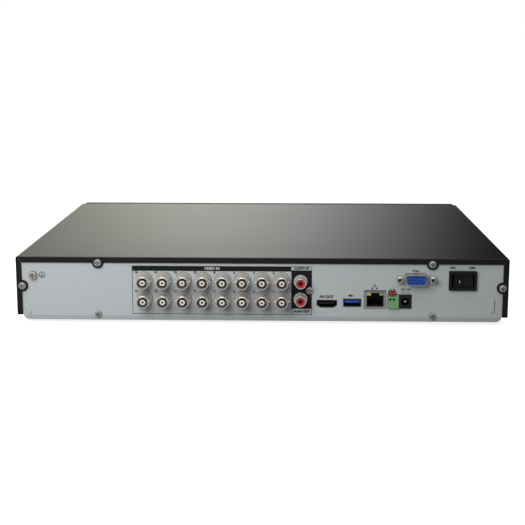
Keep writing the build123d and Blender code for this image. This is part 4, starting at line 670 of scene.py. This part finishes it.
def board_is_clear(x, y, reach):
    """True when no CAD piece stands within reach of a point on the main board."""
    for dx in (-reach, 0.0, reach):
        for dy in (-reach, 0.0, reach):
            start = Vector((x + dx, y + dy, 0)) * MM
            start.z = BOARD_TOP + PROBE_FROM
            for node in tall_nodes:
                hit, spot, _, _ = node.ray_cast(start, Vector((0, 0, -1)))
                if hit and spot.z > BOARD_TOP - PROBE_DEPTH:
                    return False
    return True


def upright_box(x, y, half_x, half_y, height):
    """Corners of a box that stands on the main board, in millimetres."""
    foot = BOARD_TOP / MM
    return (x - half_x, y - half_y, foot), (x + half_x, y + half_y, foot + height)


TRIES = 1500
GRID = 1.27
EDGE_SIDE, EDGE_FRONT, EDGE_REAR = 5, 4, 20  # strips of the board left free
APART = 3.2  # least spacing of two parts
PART_REACH = 2.4  # room kept around the middle of a part
DARK_SHARE = 0.55
HALF_LENGTH, HALF_WIDTH = 1.0, 0.6
BODY_SHARE = 0.7  # of the part's outline, the ends take the rest
RESISTOR_HEIGHT, CERAMIC_HEIGHT = 0.55, 0.9
END_BEVEL, CERAMIC_BEVEL = 0.08, 0.1
END_OFFSET, END_HALF, END_RISE = 0.85, 0.25, 0.04

board_low, board_high = [corner / MM for corner in BOARD]
resistors, solder_ends, ceramics = [], [], []
placed = []
for _ in range(TRIES):
    x = random.uniform(board_low.x + EDGE_SIDE, board_high.x - EDGE_SIDE)
    y = random.uniform(board_low.y + EDGE_FRONT, board_high.y - EDGE_REAR)
    x, y = round(x / GRID) * GRID, round(y / GRID) * GRID
    along_x = random.random() < 0.5
    dark = random.random() < DARK_SHARE
    crowded = any(abs(x - px) < APART and abs(y - py) < APART for px, py in placed)
    if crowded or not board_is_clear(x, y, PART_REACH):
        continue
    placed.append((x, y))
    height = RESISTOR_HEIGHT if dark else CERAMIC_HEIGHT
    dx, dy = (HALF_LENGTH, HALF_WIDTH) if along_x else (HALF_WIDTH, HALF_LENGTH)
    part = upright_box(x, y, dx * BODY_SHARE, dy * BODY_SHARE, height)
    (resistors if dark else ceramics).append(part)
    end_x, end_y = (END_HALF, HALF_WIDTH) if along_x else (HALF_WIDTH, END_HALF)
    for side in (-END_OFFSET, END_OFFSET):
        at = (x + side, y) if along_x else (x, y + side)
        solder_ends.append(upright_box(*at, end_x, end_y, height + END_RISE))

EPOXY, TIN = MATERIALS["chip_epoxy"], MATERIALS["terminal_tin"]
CERAMIC = varied(
    "ceramic_tan", (0.36, 0.25, 0.15), 0.5, spread=0.15, patch_mm=3.0, grain_mm=0.2, grain_depth=0.004
)
for piece_name, boxes, bevel, material, slot in (
    ("board_resistors", resistors, END_BEVEL, EPOXY, "chip_epoxy"),
    ("board_ceramics", ceramics, CERAMIC_BEVEL, CERAMIC, None),
    ("board_solder_ends", solder_ends, END_BEVEL, TIN, "terminal_tin"),
):
    add_piece(piece_name, boxes_mesh(piece_name, boxes, bevel), material)


# ---------------------------------------------------------------- stickers on the drive and the fan
PAPER = varied(
    "sticker_paper", (0.5, 0.5, 0.48), 0.5, spread=0.05, patch_mm=12.0, grain_mm=0.4, grain_depth=0.004
)
FOIL = brushed("sticker_foil", (0.45, 0.46, 0.48), 0.32, "Y", streak_mm=0.3, depth=0.002)
STICKER_MM = 0.1
LABEL_FROM_FRONT = 111.5 * MM  # middle of the drive's label from the front edge of the lid
LABEL_HALF_X, LABEL_HALF_Y = 38, 22
PRINT_LEFT = -35
HEADING = rectangle(PRINT_LEFT, 13, 8, 18)
BOTTOM_RULE = rectangle(PRINT_LEFT, -19, -PRINT_LEFT, -18.4)
LINE_COUNT, FIRST_LINE, LINE_PITCH, LINE_HEIGHT = 5, 9, 3.2, 1.1
LINE_LENGTHS = (24, 38)
BARS_FROM, BARS_TO, BAR_HALF_HEIGHT = 12.0, 34, 6
BAR_WIDTHS, BAR_GAPS = (0.35, 0.7, 1.05), (0.5, 0.8, 1.1)

lid_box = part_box("drive_lid")
label_x = (lid_box[0].x + lid_box[1].x) / 2
label_y = lid_box[0].y + LABEL_FROM_FRONT
label_over = Vector((label_x, label_y, COVER[1].z))


def on_lid(lift_mm):
    """Transform that lays a drawing in millimetres, its up along -Y, on the drive's lid."""
    hit, spot, _, _ = frame["nodes"]["drive_lid"].ray_cast(label_over, Vector((0, 0, -1)))
    assert hit
    turn = Matrix(((-1, 0, 0), (0, -1, 0), (0, 0, 1))).to_4x4()
    return Matrix.Translation(spot + Vector((0, 0, lift_mm * MM))) @ turn @ Matrix.Scale(MM, 4)


label_outline = rectangle(-LABEL_HALF_X, -LABEL_HALF_Y, LABEL_HALF_X, LABEL_HALF_Y)
label = flat_outline([label_outline], STICKER_MM), on_lid(STICKER_MM / 2)
add_piece("drive_label", joined([label]), PAPER)
print_marks = [HEADING, BOTTOM_RULE]
for line in range(LINE_COUNT):
    low = FIRST_LINE - LINE_PITCH * line
    line_end = PRINT_LEFT + random.uniform(*LINE_LENGTHS)
    print_marks.append(rectangle(PRINT_LEFT, low, line_end, low + LINE_HEIGHT))
bar = BARS_FROM
while bar < BARS_TO:
    thick = random.choice(BAR_WIDTHS)
    print_marks.append(rectangle(bar, -BAR_HALF_HEIGHT, bar + thick, BAR_HALF_HEIGHT))
    bar += thick + random.choice(BAR_GAPS)
marks = [(flat_outline([mark], INK_MM), on_lid(STICKER_MM + INK_LIFT)) for mark in print_marks]
add_piece("drive_label_print", joined(marks), BLACK_INK)

BESIDE_HUB = Vector((-50 * MM, 0, 0))
HUB_STICKER_RADIUS = 6.0
rotor = frame["nodes"]["fan_rotor"]
hub_hit, hub_spot, _, _ = rotor.ray_cast(middle("fan_rotor") + BESIDE_HUB, Vector((1, 0, 0)))
assert hub_hit
hub_turn = Matrix(((0, 0, -1), (-1, 0, 0), (0, 1, 0))).to_4x4()
hub_lift = Vector((-STICKER_MM / 2 * MM, 0, 0))
hub_laid = Matrix.Translation(hub_spot + hub_lift) @ hub_turn @ Matrix.Scale(MM, 4)
hub_sticker = flat_outline([ring(0, 0, HUB_STICKER_RADIUS)], STICKER_MM), hub_laid
add_piece("fan_sticker", joined([hub_sticker]), FOIL, "fan_blades")


# ---------------------------------------------------------------- words under the front lamps
bezel_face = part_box("front_bezel")[0].y
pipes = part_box("light_pipes")
LAMP_PITCH = 10.0 * MM
lamp_x = [(pipes[0].x + pipes[1].x) / 2 + side * LAMP_PITCH for side in (1, 0, -1)]
FRONT_FACING = Matrix(((1, 0, 0), (0, 0, -1), (0, 1, 0))).to_4x4()
INK_SUNK = 0.01 * MM  # most of this ink lies in the face, so the box of the object stays the same
WORD_BELOW = 5.2 * MM
WORD_HEIGHT, WORD_WEIGHT = 2.0, 0.02
lamp_words = []
for lamp_at, text in zip(lamp_x, ("NET", "HDD", "PWR")):
    lamp_spot = Vector((lamp_at, bezel_face + INK_SUNK, middle("light_pipes").z - WORD_BELOW))
    laid = Matrix.Translation(lamp_spot) @ FRONT_FACING @ Matrix.Scale(MM, 4)
    lamp_words.append((text_mesh(text, WORD_HEIGHT, INK_MM, WORD_WEIGHT), laid))
add_piece("print_front_words", joined(lamp_words), WHITE_INK)


# ---------------------------------------------------------------- floor and light
FLOOR_BOUNCE = 0.24  # the paper throws little light back up, as a table in a dim room would
FLOOR_GLOW = 0.85  # what is seen of the paper is nearly burnt out, so shadows on it stay pale
FLOOR_REACH = 40.0


def studio_floor():
    mesh = bpy.data.meshes.new("floor")
    corners = [(x, y, 0) for x, y in rectangle(-FLOOR_REACH, -FLOOR_REACH, FLOOR_REACH, FLOOR_REACH)]
    mesh.from_pydata(corners, [], [(0, 1, 2, 3)])
    floor = bpy.data.objects.new("floor", mesh)
    bpy.context.scene.collection.objects.link(floor)
    look = Look("floor_paper", (0.9, 0.9, 0.9), 0.9, Specular_IOR_Level=0.0)
    paper = look.mixed(look.noise(600.0, 2.0), (0.5, 0.5, 0.5), (0.52, 0.52, 0.52))
    seen = look.nodes.new("ShaderNodeLightPath").outputs["Is Camera Ray"]
    look.color(look.mixed(seen, (FLOOR_BOUNCE, FLOOR_BOUNCE, FLOOR_BOUNCE), paper))
    look.shader.inputs["Emission Color"].default_value = (1, 1, 1, 1)
    look.links.new(look.math("MULTIPLY", seen, FLOOR_GLOW), look.shader.inputs["Emission Strength"])
    mesh.materials.append(look.mat)


NEUTRAL, WARM = (1.0, 1.0, 1.0), (1.0, 0.985, 0.88)
# A fade over directions: from, to, level before, level after
WALL_RIGHT_X = (-0.21, 0.09, 0.0, 1.66)
WALL_LEFT_X = (0.07, 0.34, 1.0, 0.3)
WALL_UP_Z = (0.05, 0.45, 1.15, 0.25)
REAR_SIDE_Y = (-0.3, 0.2, 0.0, 1.0)
WARM_X = (-0.1, 0.16, 0.0, 1.0)
REAR_LEVEL = 0.2  # brightness of the room on the rear panel's side


def studio_world():
    """A white room: the background is white, and the object reflects one bright wall beyond its front."""
    world = bpy.data.worlds.new("studio")
    world.use_nodes = True
    tree = world.node_tree

    def node(kind, **settings):
        made = tree.nodes.new(kind)
        for key, value in settings.items():
            setattr(made, key, value)
        return made

    def smooth(source, low, high, out_low, out_high):
        made = node("ShaderNodeMapRange", interpolation_type="SMOOTHSTEP")
        tree.links.new(source, made.inputs["Value"])
        for socket, number in zip(RANGE_SOCKETS, (low, high, out_low, out_high)):
            made.inputs[socket].default_value = number
        return made.outputs["Result"]

    def combine(operation, a, b):
        made = node("ShaderNodeMath", operation=operation)
        tree.links.new(a, made.inputs[0])
        tree.links.new(b, made.inputs[1])
        return made.outputs[0]

    def blend(factor, a, b):
        made = node("ShaderNodeMix", data_type="FLOAT")
        for value, socket in ((factor, 0), (a, 2), (b, 3)):
            if isinstance(value, float):
                made.inputs[socket].default_value = value
            else:
                tree.links.new(value, made.inputs[socket])
        return made.outputs[0]

    place = node("ShaderNodeTexCoord")
    split = node("ShaderNodeSeparateXYZ")
    tree.links.new(place.outputs["Generated"], split.inputs[0])
    wall_right = smooth(split.outputs["X"], *WALL_RIGHT_X)
    wall_left = smooth(split.outputs["X"], *WALL_LEFT_X)
    wall_up = smooth(split.outputs["Z"], *WALL_UP_Z)
    wall = combine("MULTIPLY", combine("MULTIPLY", wall_right, wall_left), wall_up)
    rear_side = smooth(split.outputs["Y"], *REAR_SIDE_Y)
    room = blend(rear_side, wall, REAR_LEVEL)
    camera_ray = node("ShaderNodeLightPath").outputs["Is Camera Ray"]
    seen = blend(camera_ray, room, 1.0)
    tree.links.new(seen, tree.nodes["Background"].inputs["Strength"])
    warmth = smooth(split.outputs["X"], *WARM_X)
    warm = combine("MULTIPLY", warmth, smooth(camera_ray, 0.0, 1.0, 1.0, 0.0))
    tint = node("ShaderNodeMix", data_type="RGBA")
    tree.links.new(warm, tint.inputs["Factor"])
    tint_a, tint_b = [i for i in tint.inputs if i.type == "RGBA"]
    tint_a.default_value = (*NEUTRAL, 1)
    tint_b.default_value = (*WARM, 1)
    tinted = [o for o in tint.outputs if o.type == "RGBA"][0]
    tree.links.new(tinted, tree.nodes["Background"].inputs["Color"])
    bpy.context.scene.world = world


def add_lamp(name, data, power, toward):
    data.energy = power
    lamp = bpy.data.objects.new(name, data)
    lamp.rotation_mode = "QUATERNION"
    lamp.rotation_quaternion = Vector(toward).to_track_quat("-Z", "Y")
    bpy.context.scene.collection.objects.link(lamp)
    return lamp


def area_light(name, at, look_at, size, power, glossy=True):
    data = bpy.data.lights.new(name, "AREA")
    data.shape = "RECTANGLE"
    data.size, data.size_y = size
    lamp = add_lamp(name, data, power, Vector(look_at) - Vector(at))
    lamp.location = at
    lamp.visible_camera = False
    lamp.visible_glossy = glossy


def sun_light(name, toward, power, spread):
    data = bpy.data.lights.new(name, "SUN")
    data.angle = math.radians(spread)
    add_lamp(name, data, power, toward)


CEILING_TOWARD, CEILING_POWER, CEILING_SPREAD = (-0.1, -0.13, -1.0), 1.9, 50.0
KEY_AT, KEY_AIM = (0.19, REAR_Y + 0.36, 0.28), (0.12, REAR_Y, 0.03)
KEY_SIZE, KEY_POWER = (0.36, 0.3), 2.5
GLINT_SIZE, GLINT_POWER = (0.3, 0.24), 0.6  # the key's weak companion, which gloss may show

studio_floor()
studio_world()
sun_light("ceiling", CEILING_TOWARD, CEILING_POWER, CEILING_SPREAD)
area_light("key", KEY_AT, KEY_AIM, KEY_SIZE, KEY_POWER, glossy=False)
area_light("glint", KEY_AT, KEY_AIM, GLINT_SIZE, GLINT_POWER)
bpy.context.scene.view_settings.view_transform = "Standard"
